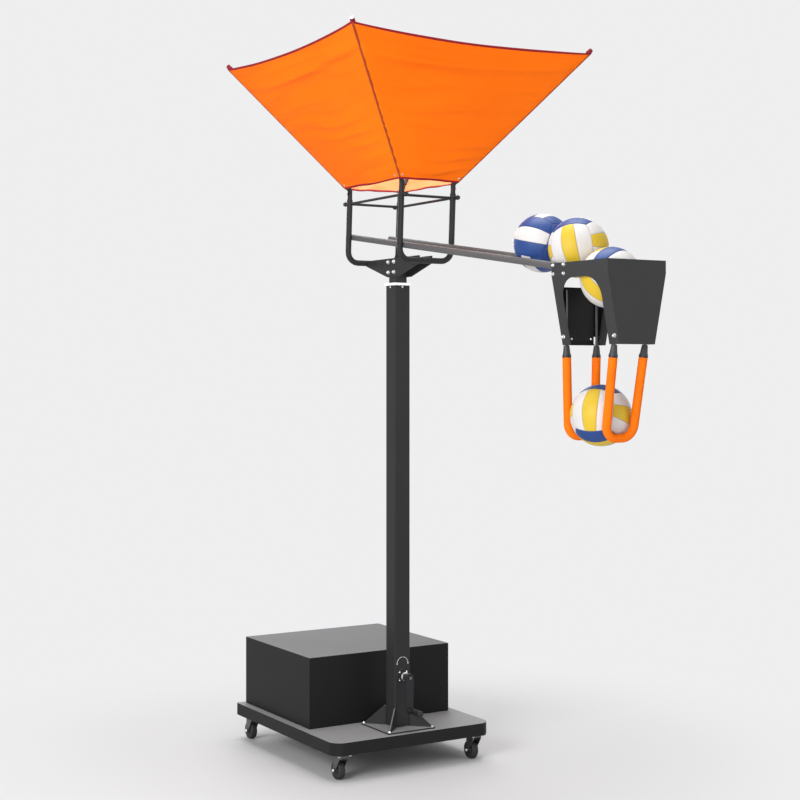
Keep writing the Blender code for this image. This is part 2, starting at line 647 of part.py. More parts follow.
arm_outline = (arc((0, 0), ARM_HUB_RADIUS, 0, 180, 12)
               + arc((0, -ARM_LENGTH), ARM_FOOT_RADIUS, 180, 360, 12))
ARM_MIDDLE_Y = HUB_FRONT_Y + ARM_THICK / 2
crank_arm = place("crank_arm", outline(arm_outline, ARM_THICK), CHARCOAL, at=(0, ARM_MIDDLE_Y, CRANK_Z),
                  turn=Matrix.Rotation(math.radians(90), 4, 'X'))
join(crank_arm, rod(ARM_HUB_RADIUS - EDGE, ARM_HUB_LENGTH, ARM_HUB_RADIUS - 2 * EDGE),
     at=(0, HUB_FRONT_Y + ARM_HUB_LENGTH / 2, CRANK_Z), turn=ALONG_Y)
cut(crank_arm, rod(SHAFT_RADIUS + GAP, ARM_HUB_LENGTH * 3), at=(0, ARM_MIDDLE_Y, CRANK_Z), turn=ALONG_Y)
GRIP_Z = CRANK_Z - ARM_LENGTH
pin_length = GRIP_LENGTH + ARM_THICK / 2
join(crank_arm, rod(GRIP_PIN_RADIUS, pin_length, sides=16),
     at=(0, ARM_MIDDLE_Y - pin_length / 2, GRIP_Z), turn=ALONG_Y)

grip_bore = GRIP_PIN_RADIUS + RUN_FIT
crank_grip = place("crank_grip", turned([
    (grip_bore, GRIP_LENGTH), (GRIP_RADIUS * 0.7, GRIP_LENGTH), (GRIP_RADIUS * 0.95, GRIP_LENGTH * 0.97),
    (GRIP_RADIUS, GRIP_LENGTH * 0.92), (GRIP_RADIUS * 0.97, GRIP_LENGTH * 0.72),
    (GRIP_WAIST, GRIP_LENGTH * 0.35), (GRIP_WAIST, GRIP_LENGTH * 0.14),
    (GRIP_RADIUS, GRIP_LENGTH * 0.09), (GRIP_RADIUS, GRIP_LENGTH * 0.02), (GRIP_RADIUS * 0.85, 0),
    (grip_bore, 0)], 16), BLACK,
    at=(0, HUB_FRONT_Y - GAP, GRIP_Z), turn=Matrix.Rotation(math.radians(90), 4, 'X'))

SCREW_FOOT_Z = SCREW_SEAT_Z + GAP
lead_screw = place("lead_screw", rod(SCREW_RADIUS, SCREW_TOP_Z - SCREW_FOOT_Z), STEEL,
                   at=(0, 0, (SCREW_TOP_Z + SCREW_FOOT_Z) / 2))

# Lifting inner tube with the screw nut at its foot

inner_tube = square_tube("mast_inner_tube", INNER_TUBE, INNER_WALL, INNER_FOOT_Z, INNER_TOP_Z, TUBE_CORNER - EDGE,
                         CHARCOAL)
nut_width = INNER_TUBE - 2 * INNER_WALL - 2 * GAP
screw_nut = place("screw_nut", box(nut_width, nut_width, NUT_HEIGHT, TUBE_CORNER - EDGE, True), BRASS,
                  at=(0, 0, INNER_FOOT_Z + NUT_HEIGHT / 2))
cut(screw_nut, rod(SCREW_RADIUS + RUN_FIT, NUT_HEIGHT * 3), at=(0, 0, INNER_FOOT_Z))

# Head brackets on both sides of the inner tube

bracket_outline = [
    (BRACKET_REAR_Y, INNER_TOP_Z), (BRACKET_FRONT_Y, INNER_TOP_Z), (BRACKET_FRONT_Y, INNER_TOP_Z - BRACKET_FRONT_DROP),
    (BRACKET_BOTTOM_FRONT_Y, INNER_TOP_Z - BRACKET_BOTTOM_DROP),
    (BRACKET_BOTTOM_REAR_Y, INNER_TOP_Z - BRACKET_BOTTOM_DROP),
    (BRACKET_REAR_Y, INNER_TOP_Z - BRACKET_REAR_DROP)]
BRACKET_X = INNER_TUBE / 2 + GAP + BRACKET_THICK / 2
for side, label in ((-1, 'left'), (1, 'right')):
    bracket = place("head_bracket_" + label, outline(bracket_outline, BRACKET_THICK), CHARCOAL,
                    at=(side * BRACKET_X, 0, 0), turn=ALONG_X)
    for run_y, run_z in ((REAR_RUN_Y, REAR_RUN_Z), (FRONT_RUN_Y, FRONT_RUN_Z)):
        cut(bracket, rod(POST_RADIUS + GAP, BRACKET_THICK * 3), at=(side * BRACKET_X, run_y, run_z), turn=ALONG_X)
        cut(bracket, box(POST_RADIUS * 4, BRACKET_THICK * 3, 2 * (POST_RADIUS + GAP)),
            at=(side * BRACKET_X, run_y + math.copysign(POST_RADIUS * 2, run_y), run_z),
            turn=Matrix.Rotation(math.radians(90), 4, 'Z'))

# Upright frames: a bent tube with a cross rod between its posts


def post_centre(run_y, run_z, z):
    """The axis of a leaning post at a height."""
    return run_y - (z - run_z) * math.tan(POST_LEAN)


def upright_frame(name, run_y, run_z, outward):
    height = (RING_Z + POST_TOP_ABOVE_RING - run_z) / math.cos(POST_LEAN)
    lean = Matrix.Rotation(POST_LEAN, 4, 'X')
    centre = (0, run_y, run_z)
    left = bend((-POST_X, 0, height), (-POST_X, 0, 0), (0, 0, 0), POST_BEND)
    right = [Vector((-p.x, p.y, p.z)) for p in reversed(left)]
    path = [Vector((-POST_X, 0, height)), *left, *right, Vector((POST_X, 0, height))]
    made = place(name, sweep(path, POST_RADIUS, POST_WALL), CHARCOAL, at=centre, turn=lean)
    cross_height = (RING_Z - run_z) / math.cos(POST_LEAN)
    span = 2 * (POST_X - POST_RADIUS + POST_WALL / 2)
    at = Matrix.Translation(Vector(centre)) @ lean
    join(made, rod(RING_RADIUS, span, sides=14), turn=at @ Matrix.Translation((0, 0, cross_height)) @ ALONG_X)
    for side in (-1, 1):
        boss_y = outward * (POST_RADIUS - POST_WALL / 2 + CLAMP_BOSS / 2)
        here = at @ Matrix.Translation((side * POST_X, boss_y, cross_height)) @ ALONG_Y
        join(made, rod(CLAMP_BOSS_RADIUS, CLAMP_BOSS, sides=6), turn=here)
        cut(made, rod(CLAMP_SCREW_RADIUS + RUN_FIT, CLAMP_BOSS * 2.2, sides=14), turn=here)
    for side, label in ((-1, 'left'), (1, 'right')):
        where = 'rear' if outward > 0 else 'front'
        tip = outward * (POLE_RADIUS + 2 * GAP)
        face = outward * (POST_RADIUS - POST_WALL / 2 + CLAMP_BOSS)
        head = face + outward * KNOB_STANDOFF
        end = head + outward * KNOB_LENGTH
        knob = place("clamp_knob_%s_%s" % (where, label),
                     rod(CLAMP_SCREW_RADIUS, abs(head - tip) + KNOB_LENGTH / 2, sides=12), BLACK,
                     turn=at @ Matrix.Translation((side * POST_X, (tip + head) / 2 + outward * KNOB_LENGTH / 4,
                                                   cross_height)) @ ALONG_Y)
        join(knob, rod(KNOB_RADIUS, KNOB_LENGTH, sides=10),
             turn=at @ Matrix.Translation((side * POST_X, (head + end) / 2, cross_height)) @ ALONG_Y)
    return made


upright_frame("upright_frame_rear", REAR_RUN_Y, REAR_RUN_Z, 1)
upright_frame("upright_frame_front", FRONT_RUN_Y, FRONT_RUN_Z, -1)

rear_post_y = post_centre(REAR_RUN_Y, REAR_RUN_Z, RING_Z)
front_post_y = post_centre(FRONT_RUN_Y, FRONT_RUN_Z, RING_Z)
for side, label in ((-1, 'left'), (1, 'right')):
    ring_rod = place("ring_rod_" + label, rod(RING_RADIUS, rear_post_y - front_post_y, sides=14), CHARCOAL,
                     at=(side * POST_X, (rear_post_y + front_post_y) / 2, RING_Z), turn=ALONG_Y)
    for post_y in (rear_post_y, front_post_y):
        cut(ring_rod, rod(POST_RADIUS + GAP, POST_RADIUS * 4, sides=16), at=(side * POST_X, post_y, RING_Z),
            turn=Matrix.Rotation(POST_LEAN, 4, 'X'))

# Funnel poles and cloth

ELBOW_Z = RING_Z + POLE_ELBOW_ABOVE_RING
rear_elbow_y = post_centre(REAR_RUN_Y, REAR_RUN_Z, ELBOW_Z)
front_elbow_y = post_centre(FRONT_RUN_Y, FRONT_RUN_Z, ELBOW_Z)
elbows = [Vector((-POST_X, rear_elbow_y, ELBOW_Z)), Vector((POST_X, rear_elbow_y, ELBOW_Z)),
          Vector((POST_X, front_elbow_y, ELBOW_Z)), Vector((-POST_X, front_elbow_y, ELBOW_Z))]
tops = [Vector((-POLE_TOP_X, POLE_TOP_REAR_Y, POLE_TOP_Z)), Vector((POLE_TOP_X, POLE_TOP_REAR_Y, POLE_TOP_Z)),
        Vector((POLE_TOP_X, POLE_TOP_FRONT_Y, POLE_TOP_Z)), Vector((-POLE_TOP_X, POLE_TOP_FRONT_Y, POLE_TOP_Z))]
post_axis = Vector((0, -math.sin(POST_LEAN), math.cos(POST_LEAN)))
for elbow, top, label in zip(elbows, tops, ('rear_left', 'rear_right', 'front_right', 'front_left')):
    foot = elbow - post_axis * (POLE_ELBOW_ABOVE_RING + POLE_FOOT - POST_TOP_ABOVE_RING)
    tip = top + (top - elbow).normalized() * POLE_TIP
    path = [foot, *bend(foot, elbow, tip, POLE_BEND), tip]
    place("funnel_pole_" + label, sweep(path, POLE_RADIUS, quarter=2), BLACK)

# The cloth lies outside the poles: each of its corners is moved out square to both of its panels
panel_normals = []
for i in range(4):
    across = elbows[(i + 1) % 4] - elbows[i]
    panel_normals.append(across.cross(tops[i] - elbows[i]).normalized())
    if panel_normals[-1].z > 0:
        panel_normals[-1].negate()
cloth_low = []
cloth_high = []
for i in range(4):
    one = panel_normals[i - 1]
    other = panel_normals[i]
    out = (one + other) * (POLE_RADIUS + GAP) / (1 + one.dot(other))
    along = (tops[i] - elbows[i]).normalized()
    cloth_low.append(elbows[i] + out + along * NET_BOTTOM_STEP)
    cloth_high.append(tops[i] + out - along * NET_TOP_STEP)


def cloth_point(i, u, v):
    """A point of panel i, across by u and up by v, hanging out between its corners."""
    low = cloth_low[i].lerp(cloth_low[(i + 1) % 4], u)
    high = cloth_high[i].lerp(cloth_high[(i + 1) % 4], u)
    belly = 4 * u * (1 - u)
    rise = v * (1 - NET_TOP_SAG * belly * v / (high - low).length) + NET_BOTTOM_SAG * belly * (1 - v)
    fold = NET_WRINKLE * belly * (1 + math.sin(v * 13 + u * 5 + i * 2))
    return low.lerp(high, rise) + panel_normals[i] * (NET_BULGE * belly * math.sin(math.pi * v ** 0.8) + fold)


work = bmesh.new()
rows = []
for k in range(NET_ROWS + 1):
    row = []
    for i in range(4):
        for j in range(NET_COLUMNS):
            row.append(work.verts.new(cloth_point(i, j / NET_COLUMNS, k / NET_ROWS)))
    rows.append(row)
around = 4 * NET_COLUMNS
for k in range(NET_ROWS):
    for j in range(around):
        beside = (j + 1) % around
        work.faces.new((rows[k][j], rows[k + 1][j], rows[k + 1][beside], rows[k][beside]))
funnel_net = place("funnel_net", finish(work, closed=False), CLOTH)
skin = funnel_net.modifiers.new("cloth", 'SOLIDIFY')
skin.thickness = NET_THICK
skin.offset = 1
skin.use_even_offset = True

# Ball rails

RAIL_TILT = math.atan(RAIL_SLOPE)
RAIL_X = POST_X - POST_RADIUS - RAIL_RADIUS - GAP


def rail_z(y):
    """The height of the rail axes at a distance from the mast."""
    return RAIL_Z_AT_MAST + RAIL_SLOPE * y


rail_length = (RAIL_REAR_Y - RAIL_FRONT_Y) / math.cos(RAIL_TILT)
rail_middle_y = (RAIL_REAR_Y + RAIL_FRONT_Y) / 2
for side, label in ((-1, 'left'), (1, 'right')):
    rail = place("ball_rail_" + label, rod(RAIL_RADIUS, rail_length), CHARCOAL,
                 at=(side * RAIL_X, rail_middle_y, rail_z(rail_middle_y)),
                 turn=Matrix.Rotation(RAIL_TILT, 4, 'X') @ ALONG_Y)
    lug_height = CHUTE_TOP_Z - CHUTE_FOLD_Z - EDGE
    lug_inner_x = RAIL_X + RAIL_RADIUS * 0.8
    lug_outer_x = CHUTE_HALF_WIDTH - CHUTE_SHEET - GAP
    join(rail, box(lug_outer_x - lug_inner_x, LUG_LENGTH, lug_height),
         at=(side * (lug_outer_x + lug_inner_x) / 2, LUG_MIDDLE_Y, CHUTE_TOP_Z - lug_height / 2))
    cut(rail, rod(RAIL_RADIUS - RAIL_WALL, rail_length * 2), turn=rail.matrix_local)

# Chute: front panel and sides in one folded sheet, with a rear panel between the sides


def chute_half(z):
    """Half of the chute's outside width at a height."""
    share = min(1.0, (z - CHUTE_BOTTOM_Z) / (CHUTE_FOLD_Z - CHUTE_BOTTOM_Z))
    return CHUTE_BOTTOM_HALF + (CHUTE_HALF_WIDTH - CHUTE_BOTTOM_HALF) * share


chute_depth = CHUTE_REAR_Y - CHUTE_FRONT_Y
chute_middle_y = (CHUTE_REAR_Y + CHUTE_FRONT_Y) / 2
FACING = Matrix.Rotation(math.radians(90), 4, 'X')


def chute_section(low, high, smaller):
    levels = [low, *([CHUTE_FOLD_Z] if high > CHUTE_FOLD_Z else []), high]
    right = [(chute_half(z) - smaller, z) for z in levels]
    return right + [(-x, z) for x, z in reversed(right)]


chute_shell = place("chute_shell", outline(chute_section(CHUTE_BOTTOM_Z, CHUTE_TOP_Z, 0), chute_depth), CHARCOAL,
                    at=(0, chute_middle_y, 0), turn=FACING)
cut(chute_shell, outline(chute_section(CHUTE_BOTTOM_Z - CHUTE_SHEET, CHUTE_TOP_Z + CHUTE_SHEET, CHUTE_SHEET),
                         chute_depth * 2),
    at=(0, CHUTE_FRONT_Y + CHUTE_SHEET + chute_depth, 0), turn=FACING)
arch_low_z = CHUTE_BOTTOM_Z - CHUTE_SHEET
arch = outline(rounded([(ARCH_FRONT_Y, arch_low_z), (ARCH_REAR_Y, arch_low_z), (ARCH_REAR_Y, ARCH_TOP_Z),
                        (ARCH_FRONT_Y, ARCH_TOP_Z)], [0, 0, ARCH_RADIUS, ARCH_RADIUS], 8), 4 * CHUTE_HALF_WIDTH)
cut(chute_shell, arch, turn=ALONG_X)

panel_fit = CHUTE_SHEET / math.cos(math.atan((CHUTE_HALF_WIDTH - CHUTE_BOTTOM_HALF)
                                             / (CHUTE_FOLD_Z - CHUTE_BOTTOM_Z))) + GAP
chute_rear_panel = place("chute_rear_panel",
                         outline(chute_section(CHUTE_BOTTOM_Z, REAR_PANEL_TOP_Z, panel_fit), CHUTE_SHEET), CHARCOAL,
                         at=(0, CHUTE_REAR_Y - CHUTE_SHEET / 2, 0), turn=FACING)
join(chute_rear_panel, box(2 * STRIP_HALF_WIDTH, STRIP_THICK + CHUTE_SHEET / 2, STRIP_TOP_Z - STRIP_BOTTOM_Z),
     at=(0, CHUTE_REAR_Y - CHUTE_SHEET - STRIP_THICK / 2 + CHUTE_SHEET / 4, (STRIP_TOP_Z + STRIP_BOTTOM_Z) / 2))
join(chute_rear_panel, box(2 * STRIP_HALF_WIDTH, LIP_DEPTH, LIP_HEIGHT),
     at=(0, CHUTE_REAR_Y - CHUTE_SHEET / 2 - LIP_DEPTH / 2, CHUTE_BOTTOM_Z + LIP_HEIGHT / 2))
notch = 2 * (ROD_RADIUS + 2 * EDGE)
for side in (-1, 1):
    cut(chute_rear_panel, box(notch, LIP_DEPTH * 3, 2 * (PIVOT_Z - CHUTE_BOTTOM_Z)),
        at=(side * ROD_X, CHUTE_REAR_Y, CHUTE_BOTTOM_Z))

# Holder arms: a steel rod frame that swings on two side pins, with a foam tube on its loop


def holder_arm(name, rod_y, lean):
    """The rods stand upright in the chute and lean below the pins, by an angle towards +Y."""
    hinge = bpy.data.objects.new(name + "_hinge", None)
    hinge.parent = root
    hinge.location = (0, rod_y, PIVOT_Z)
    PARTS.objects.link(hinge)
    slope = math.tan(lean)
    elbow_z = (SLEEVE_TOP_Z - PIVOT_Z) / 2

    def below(x, z):
        return Vector((x, (elbow_z - (z - PIVOT_Z)) * slope, z - PIVOT_Z))

    half = ROD_X - FOAM_CONVERGE
    elbow = Vector((-ROD_X, 0, elbow_z))
    corner = below(-half, FOAM_RUN_Z)
    left = [*bend(elbow, corner, below(0, FOAM_RUN_Z), FOAM_BEND, 7)]
    right = [Vector((-p.x, p.y, p.z)) for p in reversed(left)]
    rod_top = ROD_TOP_Z - PIVOT_Z
    path = [Vector((-ROD_X, 0, rod_top)), elbow, *left, *right, Vector((ROD_X, 0, elbow_z)),
            Vector((ROD_X, 0, rod_top))]
    frame = place(name + "_rod", sweep(path, ROD_RADIUS, quarter=2), STEEL, parent=hinge)
    stub_end = chute_half(PIVOT_Z - STUB_RADIUS) - panel_fit
    for side in (-1, 1):
        join(frame, rod(STUB_RADIUS, stub_end - ROD_X, sides=12),
             at=(side * (stub_end + ROD_X) / 2, 0, 0), turn=ALONG_X, parent=hinge)
        start = left[0] if side < 0 else right[-1]
        upper = elbow if side < 0 else Vector((ROD_X, 0, elbow_z))
        direction = (start - upper).normalized()
        sleeve_top = upper + direction * ((elbow_z + PIVOT_Z - SLEEVE_TOP_Z) / -direction.z)
        sleeve_foot = upper + direction * ((elbow_z + PIVOT_Z - SLEEVE_BOTTOM_Z) / -direction.z)
        span = sleeve_foot - sleeve_top
        join(frame, rod(SLEEVE_TOP_RADIUS, span.length, SLEEVE_FOOT_RADIUS, sides=16),
             turn=Matrix.Translation((sleeve_top + sleeve_foot) / 2) @ span.to_track_quat('Z', 'Y').to_matrix().to_4x4(),
             parent=hinge)
    foam_left = elbow + (left[0] - elbow) * ((elbow_z + PIVOT_Z - SLEEVE_BOTTOM_Z + GAP) / (elbow_z - left[0].z))
    foam_right = Vector((-foam_left.x, foam_left.y, foam_left.z))
    foam = place(name + "_foam", sweep([foam_left, *left, *right, foam_right], FOAM_RADIUS, quarter=3), FOAM,
                 parent=hinge)
    first = (left[0] - foam_left).normalized() * NUT_HEIGHT
    last = (right[-1] - foam_right).normalized() * NUT_HEIGHT
    cut(foam, sweep([foam_left - first, *left, *right, foam_right - last], ROD_RADIUS + GAP, quarter=2), parent=hinge)


# The held ball touches the rear arm's legs, and the front arm's loop carries it
ROD_ELBOW_Z = (SLEEVE_TOP_Z + PIVOT_Z) / 2
leg_drop = (ROD_ELBOW_Z - HELD_BALL_Z) / (ROD_ELBOW_Z - FOAM_RUN_Z)
half_leg = ROD_X - FOAM_CONVERGE * leg_drop
touch = BALL_RADIUS + FOAM_RADIUS + 2 * GAP
ball_4 = Vector((0, REAR_ROD_Y - math.sqrt(touch ** 2 - half_leg ** 2), HELD_BALL_Z))
front_run_y = ball_4.y - math.sqrt(touch ** 2 - (HELD_BALL_Z - FOAM_RUN_Z) ** 2)
front_rod_y = front_run_y - (ROD_ELBOW_Z - FOAM_RUN_Z) * math.tan(FRONT_LEAN)
holder_arm("front_arm", front_rod_y, FRONT_LEAN)
holder_arm("rear_arm", REAR_ROD_Y, 0.0)

# Balls: two on the rails, one in the chute and one between the foam arms


def sphere(radius, around, up):
    work = bmesh.new()
    bmesh.ops.create_uvsphere(work, u_segments=around, v_segments=up, radius=radius)
    return finish(work)


# A ball's flats, between its edges, are what touches
ball_flat = BALL_RADIUS * math.cos(math.pi / BALL_SIDES)
ball_rise = math.sqrt((ball_flat + RAIL_RADIUS + GAP) ** 2 - RAIL_X ** 2) / math.cos(RAIL_TILT)
ball_apart = BALL_RADIUS + ball_flat + GAP
ball_step = ball_apart * math.cos(RAIL_TILT)
ball_2 = Vector((0, BALL_2_Y, rail_z(BALL_2_Y) + ball_rise))
ball_1 = Vector((0, BALL_2_Y + ball_step, rail_z(BALL_2_Y + ball_step) + ball_rise))
fall = Vector((0, BALL_3_FALL_SHARE, -math.sqrt(1 - BALL_3_FALL_SHARE ** 2)))
ball_3 = ball_2 + fall * ball_apart
for number, centre in enumerate((ball_1, ball_2, ball_3, ball_4), 1):
    ball = place("ball_%d" % number, sphere(BALL_RADIUS, BALL_SIDES, 14), LEATHER, at=centre)
    cut(ball, sphere(BALL_RADIUS - BALL_WALL, 14, 8), at=centre)
    cut(ball, rod(BALL_VALVE, BALL_RADIUS, sides=8), turn=ALONG_X,
        at=centre + Vector((BALL_RADIUS, BALL_VALVE_ASIDE, BALL_VALVE_ASIDE)))
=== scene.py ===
"""Volleyball training machine: cloth, foam, balls, wheels, fasteners, finishes and studio.

Metres. Places are given from the mast's centre line, with the ball arm along -Y, and `at` puts
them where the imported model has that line.
"""
import math

import bmesh
import bpy
from mathutils import Matrix, Vector, noise


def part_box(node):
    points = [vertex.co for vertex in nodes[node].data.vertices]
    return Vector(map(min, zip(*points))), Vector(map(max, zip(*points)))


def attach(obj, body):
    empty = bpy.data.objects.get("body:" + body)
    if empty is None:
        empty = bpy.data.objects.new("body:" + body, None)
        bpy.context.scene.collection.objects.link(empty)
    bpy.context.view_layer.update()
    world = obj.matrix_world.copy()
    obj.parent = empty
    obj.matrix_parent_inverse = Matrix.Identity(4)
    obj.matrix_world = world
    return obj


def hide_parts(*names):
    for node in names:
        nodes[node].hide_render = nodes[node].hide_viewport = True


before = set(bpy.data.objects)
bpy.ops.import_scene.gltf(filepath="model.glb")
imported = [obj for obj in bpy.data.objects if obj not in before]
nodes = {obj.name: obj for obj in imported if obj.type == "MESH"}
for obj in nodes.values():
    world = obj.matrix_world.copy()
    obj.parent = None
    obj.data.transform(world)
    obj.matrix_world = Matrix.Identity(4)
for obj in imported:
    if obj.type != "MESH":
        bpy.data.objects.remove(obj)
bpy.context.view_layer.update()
scene = bpy.context.scene

MAST_Y = 0.37175
SKYWARD = Vector((0, 0, 1))
QUARTER = math.radians(90)


def at(x, y, z):
    return Vector((x, y + MAST_Y, z))


# Camera

VIEW_TURN = math.radians(31.347)
eye = bpy.data.cameras.new("eye")
eye.lens = 69.38
eye.sensor_width = 36.0
eye.shift_y = -0.0404
camera = bpy.data.objects.new("camera", eye)
camera.location = at(-3.2663, -5.3786, 1.6209)
camera.rotation_euler = (QUARTER, 0, -VIEW_TURN)
scene.collection.objects.link(camera)
scene.camera = camera

# Materials


class Value:
    """A number, colour, vector or shader that comes out of a node."""

    def __init__(self, owner, socket):
        self.owner = owner
        self.socket = socket

    def worked(self, operation, *terms):
        return self.owner.node("Math", {"operation": operation}, dict(enumerate(terms)))

    def __add__(self, other):
        return self.worked('ADD', self, other)

    def __sub__(self, other):
        return self.worked('SUBTRACT', self, other)

    def __rsub__(self, other):
        return self.worked('SUBTRACT', other, self)

    def __mul__(self, other):
        return self.worked('MULTIPLY', self, other)

    def __mod__(self, other):
        return self.worked('FLOORED_MODULO', self, other)

    def __rmod__(self, other):
        return self.worked('FLOORED_MODULO', other, self)

    def __lt__(self, other):
        return self.worked('LESS_THAN', self, other)

    def __gt__(self, other):
        return self.worked('GREATER_THAN', self, other)

    def __abs__(self):
        return self.worked('ABSOLUTE', self)

    __radd__ = __add__
    __rmul__ = __mul__

    def ribs(self, pitch):
        """Rises above zero and falls below it by turns, each over one pitch."""
        return self.worked('SINE', self * (math.pi / pitch))


class Nodes:
    """A shader's node tree, written as expressions."""

    def __init__(self, tree):
        self.tree = tree

    def feed(self, socket, value):
        if isinstance(value, Value):
            self.tree.links.new(value.socket, socket)
        else:
            socket.default_value = value

    def node(self, kind, settings=None, sockets=None, output=0):
        """A node, with its settings made first and then its sockets fed."""
        made = self.tree.nodes.new("ShaderNode" + kind)
        for name, value in (settings or {}).items():
            setattr(made, name, value)
        for name, value in (sockets or {}).items():
            self.feed(made.inputs[name], value)
        return Value(self, made.outputs[output])

    def part_shown(self, end, lit, shown, share=1.0):
        """Lights the object with one shader, and shows a share of another behind it and in its gloss."""
        seen = 0.0
        for kind in ("Camera", "Glossy", "Transmission"):
            ray = self.node("LightPath", output="Is %s Ray" % kind)
            seen = ray.worked('MAXIMUM', ray, seen)
        both = self.node("MixShader", sockets={0: seen * share, 1: lit, 2: shown})
        self.feed(self.tree.nodes[end].inputs[0], both)


class Finish(Nodes):
    """A material whose pattern is written as nodes."""

    def __init__(self, name, **constants):
        self.material = bpy.data.materials.new(name)
        self.material.use_nodes = True
        super().__init__(self.material.node_tree)
        self.shader = self.tree.nodes["Principled BSDF"]
        self.set(**constants)

    def set(self, **values):
        for socket, value in values.items():
            self.feed(self.shader.inputs[socket.replace("_", " ")], value)
        return self

    def here(self):
        return self.node("TexCoord", output="Object")

    def parts(self, vector):
        """The X, Y and Z of a vector."""
        split = self.node("SeparateXYZ", sockets={0: vector}).socket.node
        return [Value(self, end) for end in split.outputs]

    def flat(self):
        """Where a point lies on the piece as it was cut, in metres: its two places on the map."""
        return self.parts(self.node("UVMap", {"uv_map": "cut"}))[:2]

    def upward(self):
        """How far a face looks up, from -1 to 1."""
        return self.parts(self.node("NewGeometry", output="Normal"))[2]

    def cloud(self, scale, detail):
        return self.node("TexNoise", sockets={"Vector": self.here(), "Scale": scale, "Detail": detail})

    def cells(self, scale):
        return self.node("TexVoronoi", sockets={"Vector": self.here(), "Scale": scale})

    def band(self, value, low, high):
        """Zero below low, one above high and smooth between them."""
        return self.node("MapRange", {"interpolation_type": 'SMOOTHSTEP'},
                         {"Value": value, "From Min": low, "From Max": high})

    def mix(self, share, one, other):
        return self.node("Mix", {"data_type": 'RGBA'}, {0: share, 6: one, 7: other}, output=2)

    def relief(self, *layers):
        """Bumps on bumps, each as (height, depth in metres, strength)."""
        below = None
        for height, depth, strength in layers:
            sockets = {"Height": height, "Distance": depth, "Strength": strength}
            if below:
                sockets["Normal"] = below
            below = self.node("Bump", sockets=sockets)
        return self.set(Normal=below)


def tint(red, green, blue):
    """A colour as it is seen on a screen, from 0 to 255, in scene light."""
    shares = [c / 255 for c in (red, green, blue)]
    return (*[s / 12.92 if s <= 0.04045 else ((s + 0.055) / 1.055) ** 2.4 for s in shares], 1.0)


def grey(level, blue=1):
    """A grey with a touch of blue."""
    return tint(level, level, level + blue)


def shaded(colour, share, lift=0.0):
    """A colour made darker or paler."""
    return (*[min(1.0, c * share + lift) for c in colour[:3]], 1.0)


def powder_coat(name, side, top, roughness):
    """Baked powder paint: orange-peel skin, with upward faces given the paler top colour as painted light
    from above, flecked with dust.
    """
    made = Finish(name, Specular_IOR_Level=0.09)
    cloudy = made.band(made.cloud(2.2, 4), 0.3, 0.7)
    speck = made.band(made.cloud(95, 3), 0.60, 0.72)
    # Painted light: faces that look up are mixed towards the paler top colour, standing in for light falling
    # from above.
    painted_top_light = made.band(made.upward(), 0.55, 0.95)
    painted = made.mix(cloudy, side, shaded(side, 1.14))
    top_light_and_dust = made.mix(cloudy * 0.6 + speck * 0.25, top, shaded(top, 1.13))
    peel = made.cloud(520, 2)
    made.set(Base_Color=made.mix(painted_top_light, painted, top_light_and_dust),
             Roughness=roughness + (peel - 0.5) * 0.10 + (cloudy - 0.5) * 0.06 + painted_top_light * 0.06)
    return made.relief((peel, 0.0004, 0.30), (made.cloud(1900, 1), 0.0001, 0.2)).material


def bright_steel(name, colour, roughness, spangle=True):
    """Bare or plated metal with cloudy smears, and faint crystals where it is plated."""
    made = Finish(name, Metallic=1.0)
    crystals = made.cells(260) if spangle else made.cloud(200, 2)
    smear = made.cloud(34, 4)
    dulled = made.band(smear, 0.35, 0.75) * 0.7 + crystals * 0.2
    made.set(Base_Color=made.mix(dulled, colour, shaded(colour, 0.72)),
             Roughness=roughness + (smear - 0.5) * 0.22 + crystals * 0.05)
    return made.relief((smear, 0.0004, 0.12), (made.cloud(1400, 2), 0.0001, 0.2)).material


def moulded(name, colour, roughness, grain=900.0):
    """Moulded plastic or rubber with a fine sandblasted grain and dull patches from handling."""
    made = Finish(name, Specular_IOR_Level=0.4)
    patch = made.band(made.cloud(14, 3), 0.35, 0.7)
    rub = made.cloud(grain, 2)
    made.set(Base_Color=made.mix(patch * 0.7, colour, shaded(colour, 1.25, 0.006)),
             Roughness=roughness + (rub - 0.5) * 0.14 + patch * 0.07)
    return made.relief((rub, 0.00015, 0.35)).material


def cast_metal(name, colour):
    """Rough cast iron with lumps and paler high spots."""
    made = Finish(name, Metallic=0.35)
    lumps = made.cloud(160, 4)
    made.set(Base_Color=made.mix(made.band(lumps, 0.3, 0.7), colour, shaded(colour, 1.5)),
             Roughness=0.62 + (lumps - 0.5) * 0.3)
    return made.relief((lumps, 0.0012, 0.5)).material


def woven(name, colour, shade, roughness=0.62, pitch=0.0011):
    """Plain-weave nylon cloth, its threads following the cut piece."""
    made = Finish(name, Specular_IOR_Level=0.08)
    across, along = made.flat()
    thread = across.ribs(pitch) * along.ribs(pitch)
    slub = made.cloud(60, 3)
    fade = made.band(made.cloud(1.7, 3), 0.3, 0.72)
    made.set(Base_Color=made.mix(fade * 0.55 + slub * 0.25, colour, shade),
             Roughness=roughness + thread * 0.05 + (slub - 0.5) * 0.1)
    return made.relief((made.cloud(7, 3), 0.004, 0.25), (thread, 0.0002, 0.35)).material


RIB_PITCH = 0.0008
STITCH_PITCH = 0.0042
STITCH_LENGTH = 0.0030
STITCHES_IN = 0.0026
THREAD_HALF = 0.00038


def stitched_tape(name, colour, thread_colour):
    """Woven tape with fine ribs along its length, and a row of lock stitches across it where it starts."""
    made = Finish(name, Specular_IOR_Level=0.3)
    along, across = made.flat()
    rib = across.ribs(RIB_PITCH)
    stitch = (across % STITCH_PITCH < STITCH_LENGTH) * (abs(along - STITCHES_IN) < THREAD_HALF)
    worn = made.mix(made.cloud(40, 3), colour, shaded(colour, 0.7))
    made.set(Base_Color=made.mix(stitch, worn, thread_colour), Roughness=0.62 + rib * 0.06)
    return made.relief((rib, 0.0002, 0.35), (stitch, 0.0004, 0.6)).material


